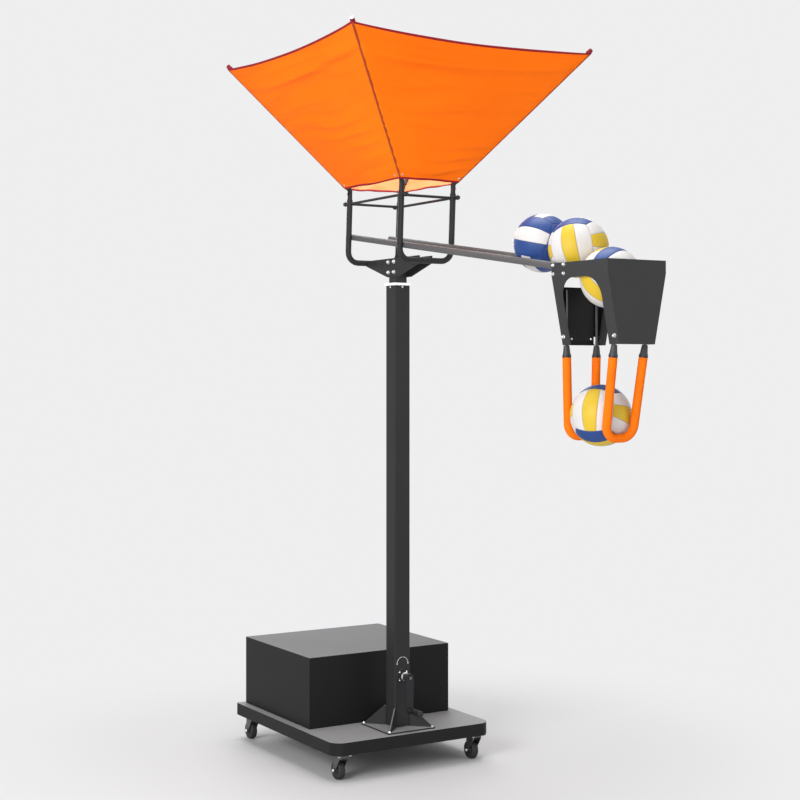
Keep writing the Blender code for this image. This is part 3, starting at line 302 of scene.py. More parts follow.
def cellular_foam(name, colour, shade):
    """Closed-cell foam sleeve: a skin of small pits, with paler scuffs."""
    made = Finish(name, Specular_IOR_Level=0.10)
    pits = made.cells(850)
    scuff = made.band(made.cloud(22, 4), 0.45, 0.75)
    made.set(Base_Color=made.mix(scuff * 0.6 + pits * 0.2, colour, shade), Roughness=0.66 + pits * 0.12)
    return made.relief((made.cloud(55, 3), 0.0010, 0.20), (pits, 0.0004, 0.45)).material


def ball_leather(name, colour):
    """Soft composite leather: pebbled, a little glossy, dull and darker between its panels."""
    made = Finish(name, Specular_IOR_Level=0.30)
    pebble = made.cells(620)
    groove = made.node("Attribute", {"attribute_name": "groove"}, output="Fac")
    soil = made.band(made.cloud(11, 4), 0.45, 0.8)
    worn = made.mix(soil * 0.5, colour, shaded(colour, 0.86))
    made.set(Base_Color=made.mix(groove * 0.7, worn, shaded(colour, 0.35)),
             Roughness=0.40 + pebble * 0.12 + groove * 0.2 + soil * 0.08)
    return made.relief((pebble, 0.0005, 0.35)).material


# Each coat's second grey is painted light: the colour its upward faces take, standing in for light from
# above.
CHARCOAL = powder_coat("charcoal_powder_coat", grey(44), grey(70), 0.40)
DECK = powder_coat("deck_powder_coat", grey(30), grey(141), 0.44)
FOOT_COAT = powder_coat("foot_powder_coat", grey(48), grey(130), 0.42)
COVER_COAT = powder_coat("cover_powder_coat", grey(27), grey(98), 0.42)
# Painted light: the chute takes a slightly paler copy of the charcoal paint, making up for light its sloping
# sides miss.
CHUTE_LIT_COAT = powder_coat("chute_painted_light_coat", grey(51), grey(82), 0.38)
# Painted light: the rails take a paler copy of the charcoal paint, standing in for the light on them.
RAIL_LIT_GREY = powder_coat("rail_painted_light_coat", grey(84), grey(110), 0.36)
CRANK_GREY = powder_coat("crank_powder_coat", grey(42, 2), grey(84, 2), 0.34)
# Painted shade: the chute's rear panel takes a darker copy of the charcoal paint, for the shade inside the
# chute.
REAR_PANEL_SHADE_COAT = powder_coat("rear_panel_painted_shade_coat", grey(25), grey(36), 0.46)
SLEEVE_GREY = moulded("shrink_sleeve", grey(46, 2), 0.5, 500.0)
ZINC = bright_steel("zinc_plate", (0.52, 0.52, 0.53, 1.0), 0.30)
DULL_ZINC = bright_steel("dull_zinc_pressing", (0.16, 0.16, 0.165, 1.0), 0.40)
CHROME = bright_steel("bright_bolt", (0.82, 0.82, 0.82, 1.0), 0.32, spangle=False)
IRON = cast_metal("cast_iron", (0.09, 0.09, 0.09, 1.0))
BRASS = bright_steel("turned_brass", (0.60, 0.42, 0.16, 1.0), 0.30, spangle=False)
NYLON = moulded("white_nylon", tint(244, 244, 241), 0.42)
BLACK = moulded("black_plastic", grey(20), 0.42)
TYRE = moulded("tyre_rubber", grey(30), 0.62, 700.0)
HUB = moulded("wheel_hub", grey(32, 2), 0.48)
MARK = moulded("pale_enamel", tint(196, 198, 200), 0.40)
CLOTH = woven("orange_cloth", tint(254, 117, 12), tint(250, 106, 9))
# Painted light: the cloth's inside is the orange made paler, standing in for the bright light falling into
# the funnel.
CLOTH_INSIDE_LIT = woven("cloth_inside_painted_light", tint(247, 178, 122), tint(243, 164, 104), 0.5)
BINDING = stitched_tape("red_binding", tint(152, 12, 28), tint(104, 12, 24))
POCKET = stitched_tape("pocket_tape", tint(126, 14, 28), tint(90, 12, 22))
# Partly painted shadow: the seam tape is brown for the sewn seam and also for the pole's shadow showing
# through the cloth.
POLE_SHADOW_SEAM = stitched_tape("seam_tape", tint(172, 68, 16), tint(122, 44, 14))
WEBBING = woven("black_webbing", grey(30, 2), grey(44, 2), 0.7, 0.0014)
FOAM = cellular_foam("orange_foam", tint(240, 114, 12), tint(232, 102, 10))
WHITE_SKIN = ball_leather("white_leather", tint(202, 199, 198))
BLUE_SKIN = ball_leather("blue_leather", tint(33, 63, 122))
YELLOW_SKIN = ball_leather("yellow_leather", tint(202, 170, 42))

slot_finish = {"charcoal_powder": CHARCOAL, "deck_powder": DECK, "zinc_steel": ZINC, "cast_iron": IRON,
               "white_nylon": NYLON, "black_plastic": BLACK, "wheel_rubber": TYRE, "orange_foam": FOAM,
               "orange_cloth": CLOTH, "brass": BRASS, "ball_skin": WHITE_SKIN}
node_finish = {"caster_fork": DULL_ZINC, "caster_plate": DULL_ZINC, "front_arm_rod": DULL_ZINC,
               "rear_arm_rod": DULL_ZINC, "crank_shaft": DULL_ZINC, "crank_arm": CRANK_GREY,
               "ball_rail": RAIL_LIT_GREY, "chute_rear_panel": REAR_PANEL_SHADE_COAT, "chute_shell": CHUTE_LIT_COAT,
               "mast_foot": FOOT_COAT, "counterweight_cover": COVER_COAT}
for node in nodes.values():
    special = [finish for start, finish in node_finish.items() if node.name.startswith(start)]
    for place in node.material_slots:
        place.material = special[0] if special else slot_finish[place.material.name.split(".")[0]]

# Shapes

MEET = 0.00001
NEAR = 0.0001


def facing(point, direction, turn=0.0):
    """A place whose Z looks along a direction."""
    aim = Vector(direction).to_track_quat('Z', 'Y').to_matrix().to_4x4()
    return Matrix.Translation(point) @ aim @ Matrix.Rotation(turn, 4, 'Z')


def put(shape, place):
    bmesh.ops.transform(shape, matrix=place, verts=shape.verts)
    return shape


def closed(shape, reach=MEET):
    """Merges the points that meet, then turns the faces outwards."""
    bmesh.ops.remove_doubles(shape, verts=shape.verts, dist=reach)
    bmesh.ops.recalc_face_normals(shape, faces=shape.faces)
    return shape


def gather(into, shape, place=None):
    """Adds a shape to a piece, at a place."""
    if place:
        put(shape, place)
    step = bpy.data.meshes.new("step")
    shape.to_mesh(step)
    shape.free()
    into.from_mesh(step)
    bpy.data.meshes.remove(step)
    return into


def finished(name, work, skins):
    """An object of one shape, with its finishes."""
    mesh = bpy.data.meshes.new(name)
    work.to_mesh(mesh)
    work.free()
    for skin in skins:
        mesh.materials.append(skin)
    made = bpy.data.objects.new(name, mesh)
    scene.collection.objects.link(made)
    return made


def piece(name, work, skins, body, angle=35.0, stands_for=()):
    """A finished piece that rides on a body, smooth but where it turns by more than an angle."""
    made = finished(name, work, skins)
    made.data.shade_smooth()
    made.data.set_sharp_from_angle(angle=math.radians(angle))
    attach(made, body)
    if stands_for:
        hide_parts(*stands_for)
    return made


def thicken(sheet, name, thickness, offset):
    """Gives a sheet its wall, outwards of it at an offset of 1 and inwards at -1."""
    wall = sheet.modifiers.new(name, 'SOLIDIFY')
    wall.thickness = thickness
    wall.offset = offset
    return wall


def lathe(profile, sides=32):
    """A shape turned about Z from (radius, height) points, closed where it leaves the axis."""
    work = bmesh.new()
    line = [work.verts.new((r, 0, z)) for r, z in profile]
    edges = [work.edges.new(pair) for pair in zip(line, line[1:])]
    if profile[0][0] > 0:
        edges.append(work.edges.new((line[-1], line[0])))
    bmesh.ops.spin(work, geom=line + edges, cent=(0, 0, 0), axis=SKYWARD, angle=2 * math.pi, steps=sides,
                   use_merge=True, use_duplicate=False)
    return closed(work)


def frames_along(points):
    """A place at each point of a line, with Z along it and no twist from one to the next."""
    made = []
    turn = None
    for i, point in enumerate(points):
        ahead = (points[min(i + 1, len(points) - 1)] - points[max(i - 1, 0)]).normalized()
        if turn is None:
            turn = ahead.to_track_quat('Z', 'Y')
        else:
            turn = (turn @ SKYWARD).rotation_difference(ahead) @ turn
        made.append(Matrix.Translation(point) @ turn.to_matrix().to_4x4())
    return made


def tube(points, radii, sides=20):
    """A round bar along a line, with a radius at each point."""
    work = bmesh.new()
    places = [here @ Matrix.Diagonal((r, r, 1, 1)) for here, r in zip(frames_along(points), radii)]
    bmesh.ops.create_circle(work, cap_ends=False, segments=sides, radius=1, matrix=places[0])
    edges = list(work.edges)
    for before, here in zip(places, places[1:]):
        made = bmesh.ops.extrude_edge_only(work, edges=edges)["geom"]
        ring = {v for v in made if isinstance(v, bmesh.types.BMVert)}
        bmesh.ops.transform(work, matrix=here @ before.inverted(), verts=list(ring))
        edges = [e for e in made if isinstance(e, bmesh.types.BMEdge) and ring.issuperset(e.verts)]
    bmesh.ops.holes_fill(work, edges=work.edges, sides=0)
    bmesh.ops.recalc_face_normals(work, faces=work.faces)
    return work


def laid_out(columns, rows, where, size=(1.0, 1.0)):
    """A grid placed by how far across and up it a point is, with its cut size kept as its map."""
    work = bmesh.new()
    bmesh.ops.create_grid(work, x_segments=columns, y_segments=rows, size=0.5)
    cut = work.loops.layers.uv.new("cut")
    for face in work.faces:
        for loop in face.loops:
            loop[cut].uv = ((loop.vert.co.x + 0.5) * size[0], (loop.vert.co.y + 0.5) * size[1])
    for vert in work.verts:
        vert.co = where(vert.co.x + 0.5, vert.co.y + 0.5)
    return work


def arc_points(start, corner, end, radius, steps):
    """Points round a corner between two straight runs."""
    back = (start - corner).normalized()
    on = (end - corner).normalized()
    half = back.angle(on) / 2
    middle = corner + (back + on).normalized() * radius / math.sin(half)
    first = corner + back * radius / math.tan(half) - middle
    last = corner + on * radius / math.tan(half) - middle
    axis, angle = first.rotation_difference(last).to_axis_angle()
    return [middle + Matrix.Rotation(angle * k / steps, 3, axis) @ first for k in range(steps + 1)]


def spaced(points, gap):
    """The same line with points at most a gap apart."""
    made = [points[0]]
    for start, end in zip(points, points[1:]):
        count = max(1, math.ceil((end - start).length / gap))
        made += [start.lerp(end, k / count) for k in range(1, count + 1)]
    return made


def turned(direction, aim):
    """A direction or its opposite, whichever looks along aim."""
    return direction if direction.dot(aim) >= 0 else -direction


# Uprights and poles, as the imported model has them: four corners, of which panel i joins i and the next

GAP = 0.0003
POST_X = 0.1205
POST_LEAN = math.radians(3.2)
POST_TOP_Z = 2.317
ELBOW_Z = 2.355
POLE_RADIUS = 0.0075
POLE_TIP = 0.012
POLE_TOP_X = 0.536
POLE_TOP_Z = 2.866
# Y and Z of an upright's bottom run, and Y of its pole's top
REAR = (0.200, 2.057, 0.462)
FRONT = (-0.210, 2.046, -0.570)
corner_names = ("rear_left", "rear_right", "front_right", "front_left")
runs = []
elbows = []
tops = []
for side, (run_y, run_z, top_y) in ((-1, REAR), (1, REAR), (1, FRONT), (-1, FRONT)):
    runs.append(at(side * POST_X, run_y, run_z))
    elbows.append(at(side * POST_X, run_y - (ELBOW_Z - run_z) * math.tan(POST_LEAN), ELBOW_Z))
    tops.append(at(side * POLE_TOP_X, top_y, POLE_TOP_Z))
up_pole = [(top - elbow).normalized() for elbow, top in zip(elbows, tops)]

# Funnel cloth

THROAT_STEP = 0.0185
RIM_STEP = 0.005
panel_out = []
for i in range(4):
    normal = (elbows[(i + 1) % 4] - elbows[i]).cross(tops[i] - elbows[i]).normalized()
    panel_out.append(turned(normal, -SKYWARD))
cloth_low = []
cloth_high = []
corner_out = []
for i in range(4):
    one, other = panel_out[i - 1], panel_out[i]
    out = (one + other) * (POLE_RADIUS + GAP) / (1 + one.dot(other))
    corner_out.append(out.normalized())
    cloth_low.append(elbows[i] + out + up_pole[i] * THROAT_STEP)
    cloth_high.append(tops[i] + out + up_pole[i] * RIM_STEP)

# How far the rim hangs in its middle and beside the poles, and how far bulges and folds stand out
RIM_SAG = 0.019
CORNER_SAG = 0.004
BULGE = 0.012
BROAD_FOLD = 0.0022
RIM_FOLD = 0.0165
LEVEL_FOLD = 0.0042
FINE_FOLD = 0.0009
POLE_TUCK = 0.0019
# Share of the panel's height by which the throat's edge rises in its middle
THROAT_RISE = 0.004


def cloth_point(i, u, v, proud=0.0):
    """A point of panel i, across by u and up by v, hanging out between its poles in soft level folds."""
    low = cloth_low[i].lerp(cloth_low[(i + 1) % 4], u)
    high = cloth_high[i].lerp(cloth_high[(i + 1) % 4], u)
    belly = 4 * u * (1 - u)
    side = min(u, 1 - u)
    droop = RIM_SAG * belly + CORNER_SAG * (1 - math.exp(-side * 20))
    place = low.lerp(high, v * (1 - droop * v / (high - low).length) + THROAT_RISE * belly * (1 - v))
    drift = noise.noise(Vector((u * 2.4, v * 3.1, i * 7.3)))
    strong = 0.5 + noise.noise(Vector((u * 1.7 + 3.0, v * 2.2, i * 5.1)))
    slant = 3 if i % 2 else -3
    bulge = BULGE * belly * math.sin(math.pi * v ** 0.8)
    broad = BROAD_FOLD * belly * (1 + math.sin(v * 13 + u * 5 + i * 2))
    under_rim = RIM_FOLD * math.exp(-((v - 0.87 + 0.05 * u) / 0.034) ** 2)
    level = LEVEL_FOLD * strong * (1 + math.sin(v * 50 + 5 * drift + u * slant))
    fine = FINE_FOLD * strong * (1 + math.sin(v * 118 + 7 * drift + u * 4))
    gathered = math.exp(-side * 17) * min(1, side * 40)
    tuck = POLE_TUCK * (1 + math.sin(v * 105 + side * 30 + 9 * drift)) * gathered
    return place + panel_out[i] * (bulge + broad + belly ** 0.6 * (under_rim + level + fine) + tuck + proud)


CLOTH_COLUMNS = 40
CLOTH_ROWS = 130
CLOTH_THICK = 0.0011
SEAM_REACH = 0.00005
INSIDE_FUNNEL = at(0, -0.02, 0)
OUTWARD_FALL = -0.3
cloth = bmesh.new()
for i in range(4):
    after = (i + 1) % 4
    wide = (cloth_high[after] - cloth_high[i]).length
    tall = ((cloth_high[i] + cloth_high[after]) / 2 - (cloth_low[i] + cloth_low[after]) / 2).length
    narrow = (cloth_low[after] - cloth_low[i]).length
    gather(cloth, laid_out(CLOTH_COLUMNS, CLOTH_ROWS, lambda u, v: cloth_point(i, u, v), (wide, tall)))
bmesh.ops.remove_doubles(cloth, verts=cloth.verts, dist=SEAM_REACH)
for face in cloth.faces:
    outward = face.calc_center_median() - INSIDE_FUNNEL
    outward.z = OUTWARD_FALL
    if face.normal.dot(outward) < 0:
        face.normal_flip()
funnel_cloth = piece("funnel_cloth", cloth, [CLOTH, CLOTH_INSIDE_LIT], "lift", 40, ["funnel_net"])
# The inside face takes the paler orange, which is painted light.
thicken(funnel_cloth, "cloth", CLOTH_THICK, 1.0).material_offset = 1

# Red binding folded over the cloth's edges: its section as (proud of the cloth, beyond its edge)

BINDING_WIDTH = 0.022
# Share of the cloth's height over which its slope is taken at the edge
INWARD_STEP = 0.02
binding_section = [(0.0018, -0.0085), (0.0023, -0.0080), (0.0025, -0.0040), (0.0022, -0.0004),
                   (0.0010, 0.0010), (-0.0005, 0.0005), (-0.0011, -0.0020), (-0.0012, -0.0078),
                   (-0.0007, -0.0085)]


def binding(v, sign, name):
    """Binding round the edge at height v: the rim with a sign of 1, the throat with -1."""
    work = bmesh.new()
    count = len(binding_section)
    for i in range(4):
        length = (cloth_point(i, 1, v) - cloth_point(i, 0, v)).length

        def where(s, t):
            proud, beyond = binding_section[round(t * count) % count]
            edge = cloth_point(i, s, v)
            inward = (cloth_point(i, s, v - sign * INWARD_STEP) - edge).normalized()
            out = panel_out[i]
            if min(s, 1 - s) < NEAR:
                out = corner_out[(i + round(s)) % 4]
            return edge - inward * beyond + out * proud

        gather(work, laid_out(CLOTH_COLUMNS, count, where, (length, BINDING_WIDTH)))
    return piece(name, closed(work, SEAM_REACH), [BINDING], "lift", 50)


rim_binding = binding(1.0, 1, "funnel_rim_binding")
throat_binding = binding(0.0, -1, "funnel_throat_binding")

# Seam tape folded over each corner, outside the pole, coloured brown partly as painted shadow of the pole
# behind the cloth

TAPE_HALF = 0.0050
TAPE_THICK = 0.0006
TAPE_LIFT = CLOTH_THICK + 0.0005
TAPE_PUCKER = 0.0005
TAPE_START = 0.006
TAPE_SPAN = 0.984
# The tape's crown, from its edge inwards: share of its half width, and height over its edge
tape_crown = [(1.0, 0.0), (0.55, 0.0004), (0.2, 0.0006)]
TAPE_RIDGE = 0.0009
tapes = bmesh.new()
for i in range(4):
    low, high = cloth_low[i], cloth_high[i]
    line = (high - low).normalized()
    left = turned(panel_out[i - 1].cross(line).normalized(), cloth_low[i - 1] - low)
    right = turned(line.cross(panel_out[i]).normalized(), cloth_low[(i + 1) % 4] - low)
    section = [low + left * TAPE_HALF * share + panel_out[i - 1] * (TAPE_LIFT + crown)
               for share, crown in tape_crown]
    section.append(low + corner_out[i] * (TAPE_LIFT + TAPE_RIDGE))
    section += [low + right * TAPE_HALF * share + panel_out[i] * (TAPE_LIFT + crown)
                for share, crown in reversed(tape_crown)]
    spans = len(section) - 1

    def on_corner(s, t):
        swell = noise.noise(Vector((s * 38, i * 5.0, 0.0))) * TAPE_PUCKER
        along = (high - low) * (TAPE_START + s * TAPE_SPAN)
        return section[round(t * spans)] + along + corner_out[i] * swell

    gather(tapes, laid_out(60, spans, on_corner, ((high - low).length, 2 * TAPE_HALF)))
seam_tape = piece("funnel_seam_tape", tapes, [POLE_SHADOW_SEAM], "lift", 60)
thicken(seam_tape, "tape", TAPE_THICK, 0.0)

# Pole ends: sewn pockets of red tape, closed over the tip but for one corner, where a white plug shows

closed_pocket = [(0.0096, -0.0200), (0.0095, -0.0150), (0.0091, -0.0080), (0.0088, -0.0020), (0.0080, 0.0008),
                 (0.0050, 0.0024), (0.0, 0.0030)]
open_pocket = [(0.0096, -0.0200), (0.0095, -0.0160), (0.0092, -0.0110), (0.0090, -0.0070), (0.0087, -0.0040),
               (0.0083, -0.0022), (0.0078, -0.0016)]
plug_profile = [(0, 0.0032), (0.0036, 0.0029), (0.0064, 0.0016), (0.0078, -0.0002), (0.0079, -0.0012),
                (0.0076, -0.0014), (0.0076, -0.0005), (0, -0.0005)]
POCKET_ROUND = 0.06
POCKET_HEIGHT = 0.024
for top, along, label in zip(tops, up_pole, corner_names):
    end = facing(top + along * (POLE_TIP + TAPE_THICK), along)
    rings = closed_pocket
    if label == "front_left":
        rings = open_pocket
        piece("pole_plug", put(lathe(plug_profile, 24), end), [NYLON], "lift")
    spans = len(rings) - 1

    def round_pole(s, t):
        radius, height = rings[round(t * spans)]
        angle = 2 * math.pi * s
        return end @ Vector((radius * math.cos(angle), radius * math.sin(angle), height))

    pocket = closed(laid_out(24, spans, round_pole, (POCKET_ROUND, POCKET_HEIGHT)))
    made = piece("pole_pocket_" + label, pocket, [POCKET], "lift", 60)
    thicken(made, "tape", TAPE_THICK, -1.0)

# Sockets that carry the poles from the uprights to the throat

SOCKET_RADIUS = 0.0098
SOCKET_BEND = 0.014
SOCKET_TURN = 0.010
SOCKET_REACH = 0.018
OVER_POST = 0.008
BAR_STEP = 0.006
sockets = bmesh.new()
for elbow, run, along in zip(elbows, runs, up_pole):
    post = (elbow - run).normalized()
    foot = elbow - post * (ELBOW_Z - POST_TOP_Z + OVER_POST)
    under = elbow - post * SOCKET_TURN
    bend = arc_points(under, elbow, elbow + along * SOCKET_TURN, SOCKET_BEND, 6)
    line = spaced([foot, under, *bend, elbow + along * SOCKET_REACH], BAR_STEP)
    gather(sockets, tube(line, [SOCKET_RADIUS] * len(line), 24))
piece("pole_sockets", sockets, [CHARCOAL], "lift")

# Snap buttons and tie straps that hold the throat to the poles

SNAP_IN = 0.055
SNAP_UP = 0.028
STRAP_WIDTH = 0.010
STRAP_LENGTH = 0.05
STRAP_THICK = 0.0012
# Where a strap starts, up the pole and in from the corner, then how far it hangs, bows and strays
STRAP_UP = 0.012
STRAP_IN = 0.020
STRAP_DROP = 0.048
STRAP_BOW = 0.010
STRAP_OFF = 0.004
STRAP_STRAY = 0.012
snap_profile = [(0, 0.0024), (0.0026, 0.0022), (0.0044, 0.0012), (0.0050, 0.0002), (0.0050, -0.0006),
                (0, -0.0006)]
snaps = bmesh.new()
ties = bmesh.new()
for i in range(4):
    for u in (SNAP_IN, 1 - SNAP_IN):
        spot = cloth_point(i, u, SNAP_UP, CLOTH_THICK)
        gather(snaps, lathe(snap_profile, 20), facing(spot, panel_out[i]))
    start = cloth_low[i] + up_pole[i] * STRAP_UP - corner_out[i] * STRAP_IN
    inward = -corner_out[i]
    inward.z = 0
    inward.normalize()
    aside = inward.cross(SKYWARD)

    def strap(s, t):
        swing = inward * (STRAP_BOW * math.sin(math.pi * s * 0.9) + STRAP_OFF)
        stray = aside * (STRAP_WIDTH * (t - 0.5) + STRAP_STRAY * s)
        return start - SKYWARD * STRAP_DROP * s + swing + stray

    gather(ties, laid_out(8, 2, strap, (STRAP_LENGTH, STRAP_WIDTH)))
piece("throat_snaps", snaps, [ZINC], "lift")
tie_straps = piece("throat_tie_straps", ties, [WEBBING], "lift")
thicken(tie_straps, "webbing", STRAP_THICK, 0.0)

# Holder arms: foam tubes and their sleeves

CHUTE_BOTTOM_Z = 1.697
PIVOT_Z = CHUTE_BOTTOM_Z + 0.0295
ROD_X = 0.065
SLEEVE_TOP_Z = 1.694
SLEEVE_BOTTOM_Z = 1.658
SLEEVE_OVER = 0.0024
SLEEVE_UNDER = 0.003
FOAM_IN_SLEEVE = 0.002
FOAM_RADIUS = 0.0150
FOAM_RUN_Z = 1.388
FOAM_CONVERGE = 0.008
FOAM_BEND = 0.045
FOAM_SWELL = 0.012
END_PINCH = 0.94
CREASE = 0.0009
CREASE_REACH = 0.00975
BALL_RADIUS = 0.104
HELD_BALL_Z = 1.461
REAR_ROD_Y = -1.2078
FRONT_LEAN = math.radians(10.0)
elbow_z = (SLEEVE_TOP_Z + PIVOT_Z) / 2
half_leg = ROD_X - FOAM_CONVERGE * (elbow_z - HELD_BALL_Z) / (elbow_z - FOAM_RUN_Z)
touch = BALL_RADIUS + FOAM_RADIUS + 2 * GAP
held_y = REAR_ROD_Y - math.sqrt(touch ** 2 - half_leg ** 2)
front_rod_y = (held_y - math.sqrt(touch ** 2 - (HELD_BALL_Z - FOAM_RUN_Z) ** 2)
               - (elbow_z - FOAM_RUN_Z) * math.tan(FRONT_LEAN))


def sleeve(span):
    """A shrink sleeve that stands on the foam, with a black band round its foot as painted shadow where it
    meets the foam.
    """
    cone = lathe([(0.0054, span), (0.0092, span - 0.0006), (0.0102, span - 0.004), (0.0128, span * 0.34),
                  (0.0147, 0.0090), (0.0149, 0.0070), (0.0153, 0.0064), (0.0153, 0.0006), (0.0148, 0),
                  (0.0054, 0)], 28)
    # Painted shadow: faces near the foot take the second finish, black plastic, for the shade between sleeve
    # and foam.
    for face in cone.faces:
        face.material_index = 1 if face.calc_center_median().z < 0.0068 else 0
    return cone


def foam_arm(label, rod_y, lean):
    """A foam tube bent round the arm's loop, with a dark sleeve over each end."""
    slope = math.tan(lean)

    def below(x, z):
        return at(x, rod_y + (elbow_z - z) * slope, z)

    half = ROD_X - FOAM_CONVERGE
    elbow = at(-ROD_X, rod_y, elbow_z)
    bend = arc_points(elbow, below(-half, FOAM_RUN_Z), below(0, FOAM_RUN_Z), FOAM_BEND, 14)
    down = (bend[0] - elbow).normalized()

    def on_leg(z):
        return elbow + down * ((elbow_z - z) / -down.z)

    left = [on_leg(SLEEVE_BOTTOM_Z + FOAM_IN_SLEEVE), *bend]
    right = [Vector((-p.x, p.y, p.z)) for p in reversed(left)]
    line = spaced(left + right, BAR_STEP)
    travelled = 0.0
    radii = []
    for i, point in enumerate(line):
        travelled += (point - line[i - 1]).length if i else 0.0
        radii.append(FOAM_RADIUS * (1 + FOAM_SWELL * noise.noise(Vector((travelled * 22, rod_y * 9, 0)))))
    radii[0] *= END_PINCH
    radii[-1] *= END_PINCH
    foam = tube(line, radii, 28)
    middle = below(-half + FOAM_BEND, FOAM_RUN_Z + FOAM_BEND)
    inner_bend = FOAM_BEND - FOAM_RADIUS
    for vert in foam.verts:
        for corner in (middle, Vector((-middle.x, middle.y, middle.z))):
            depth = 1 - ((vert.co - corner).length - inner_bend) / CREASE_REACH
            if depth > 0 and abs(vert.co.x) > abs(corner.x) and vert.co.z < corner.z:
                angle = math.atan2(vert.co.z - corner.z, vert.co.x - corner.x)
                vert.co += (vert.co - corner).normalized() * CREASE * depth * (1 + math.sin(angle * 34))
    made = piece("%s_foam_tube" % label, foam, [FOAM], label, 60, ["%s_foam" % label])
    sleeves = bmesh.new()
    for side in (-1, 1):
        top = on_leg(SLEEVE_TOP_Z + SLEEVE_OVER)
        foot = on_leg(SLEEVE_BOTTOM_Z - SLEEVE_UNDER)
        top.x *= -side
        foot.x *= -side
        gather(sleeves, sleeve((top - foot).length), facing(foot, top - foot))
    piece("%s_sleeves" % label, sleeves, [SLEEVE_GREY, BLACK], label)


foam_arm("front_arm", front_rod_y, FRONT_LEAN)
foam_arm("rear_arm", REAR_ROD_Y, 0.0)

# Balls: six faces of three leather strips each, square to the strips of the faces beside them

THIRD = 1 / 3
GROOVE = 0.020
GROOVE_DEPTH = 0.0016
strip_cuts = []
for border in (-1, -THIRD, THIRD):
    inner = [border + GROOVE + (2 * THIRD - 2 * GROOVE) * k / 6 for k in range(7)]
    strip_cuts += [border, *inner] if border > -1 else inner


def panel_ball(name, centre, look, up, faces, body, node):
    """A ball whose -Y face looks one way, with that face's strips running up."""
    work = bmesh.new()
    bmesh.ops.create_cube(work, size=2.0)
    for axis in range(3):
        normal = Vector([float(k == axis) for k in range(3)])
        for place in strip_cuts:
            bmesh.ops.bisect_plane(work, geom=work.verts[:] + work.edges[:] + work.faces[:], dist=MEET,
                                   plane_co=normal * place, plane_no=normal)
    groove = work.verts.layers.float.new("groove")
    for face in work.faces:
        middle = face.calc_center_median()
        axis = max(range(3), key=lambda k: abs(middle[k]))
        colours = faces[axis * 2 + (middle[axis] > 0)]
        face.material_index = colours[0 if abs(middle[(axis + 2) % 3]) < THIRD else 1]
    ahead = -look.normalized()
    above = (up - ahead * up.dot(ahead)).normalized()
    turn = Matrix((ahead.cross(above), ahead, above)).transposed()
    for vert in work.verts:
        flat = [k for k in range(3) if abs(vert.co[k]) > 1 - NEAR]
        seam = len(flat) > 1 or abs(abs(vert.co[(flat[0] + 2) % 3]) - THIRD) < NEAR
        vert[groove] = 1.0 if seam else 0.0
        aim = Vector([math.tan(c * math.pi / 4) for c in vert.co]).normalized()
        vert.co = centre + turn @ (aim * (BALL_RADIUS - (GROOVE_DEPTH if seam else 0.0)))
    made = piece(name, work, [WHITE_SKIN, BLUE_SKIN, YELLOW_SKIN], body, 60, [node])
    smooth = made.modifiers.new("round", 'SUBSURF')
    smooth.levels = 1
    smooth.render_levels = 1


# A face's middle strip and its outer two, then the six faces of a ball: -X, X, -Y, Y, -Z, Z
WHITE, BLUE, YELLOW = range(3)
yellow_in_white = (YELLOW, WHITE)
yellow_in_blue = (YELLOW, BLUE)
white_in_blue = (WHITE, BLUE)
mixed = [yellow_in_white] * 4 + [yellow_in_blue, white_in_blue]
blue_and_white = [white_in_blue] * 3 + [yellow_in_white] * 2 + [white_in_blue]
toward = Vector((-math.sin(VIEW_TURN), -math.cos(VIEW_TURN), 0))
to_right = Vector((math.cos(VIEW_TURN), -math.sin(VIEW_TURN), 0))

# Each ball: its body, where its -Y face looks (degrees left of and above the line to the camera),
# how that face's strips run (right, up, toward the camera), and the colours of its faces
for name, node, body, (left, above), (right, rise, near), faces in (
        ("rail_ball_blue", "ball_1", "rail_ball_upper", (37.5, 15.3), (0.743, -0.199, 0.639), blue_and_white),
        ("rail_ball_yellow", "ball_2", "rail_ball_lower", (-155.5, -1.2), (-0.172, 0.980, -0.101), mixed),
        ("chute_ball", "ball_3", "lift", (121.3, 44.4), (0.281, 0.629, 0.725), mixed),
        ("held_ball", "ball_4", "held_ball", (-150.3, -15.8), (0.133, 0.962, -0.237), mixed)):
    low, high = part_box(node)
    left, above = math.radians(left), math.radians(above)
    level = toward * math.cos(left) - to_right * math.sin(left)
    look = level * math.cos(above) + SKYWARD * math.sin(above)
    strips = to_right * right + SKYWARD * rise + toward * near
    panel_ball(name, (low + high) / 2, look, strips, faces, body, node)

# Caster wheels: tyre with two grooves on a dished hub with ribs

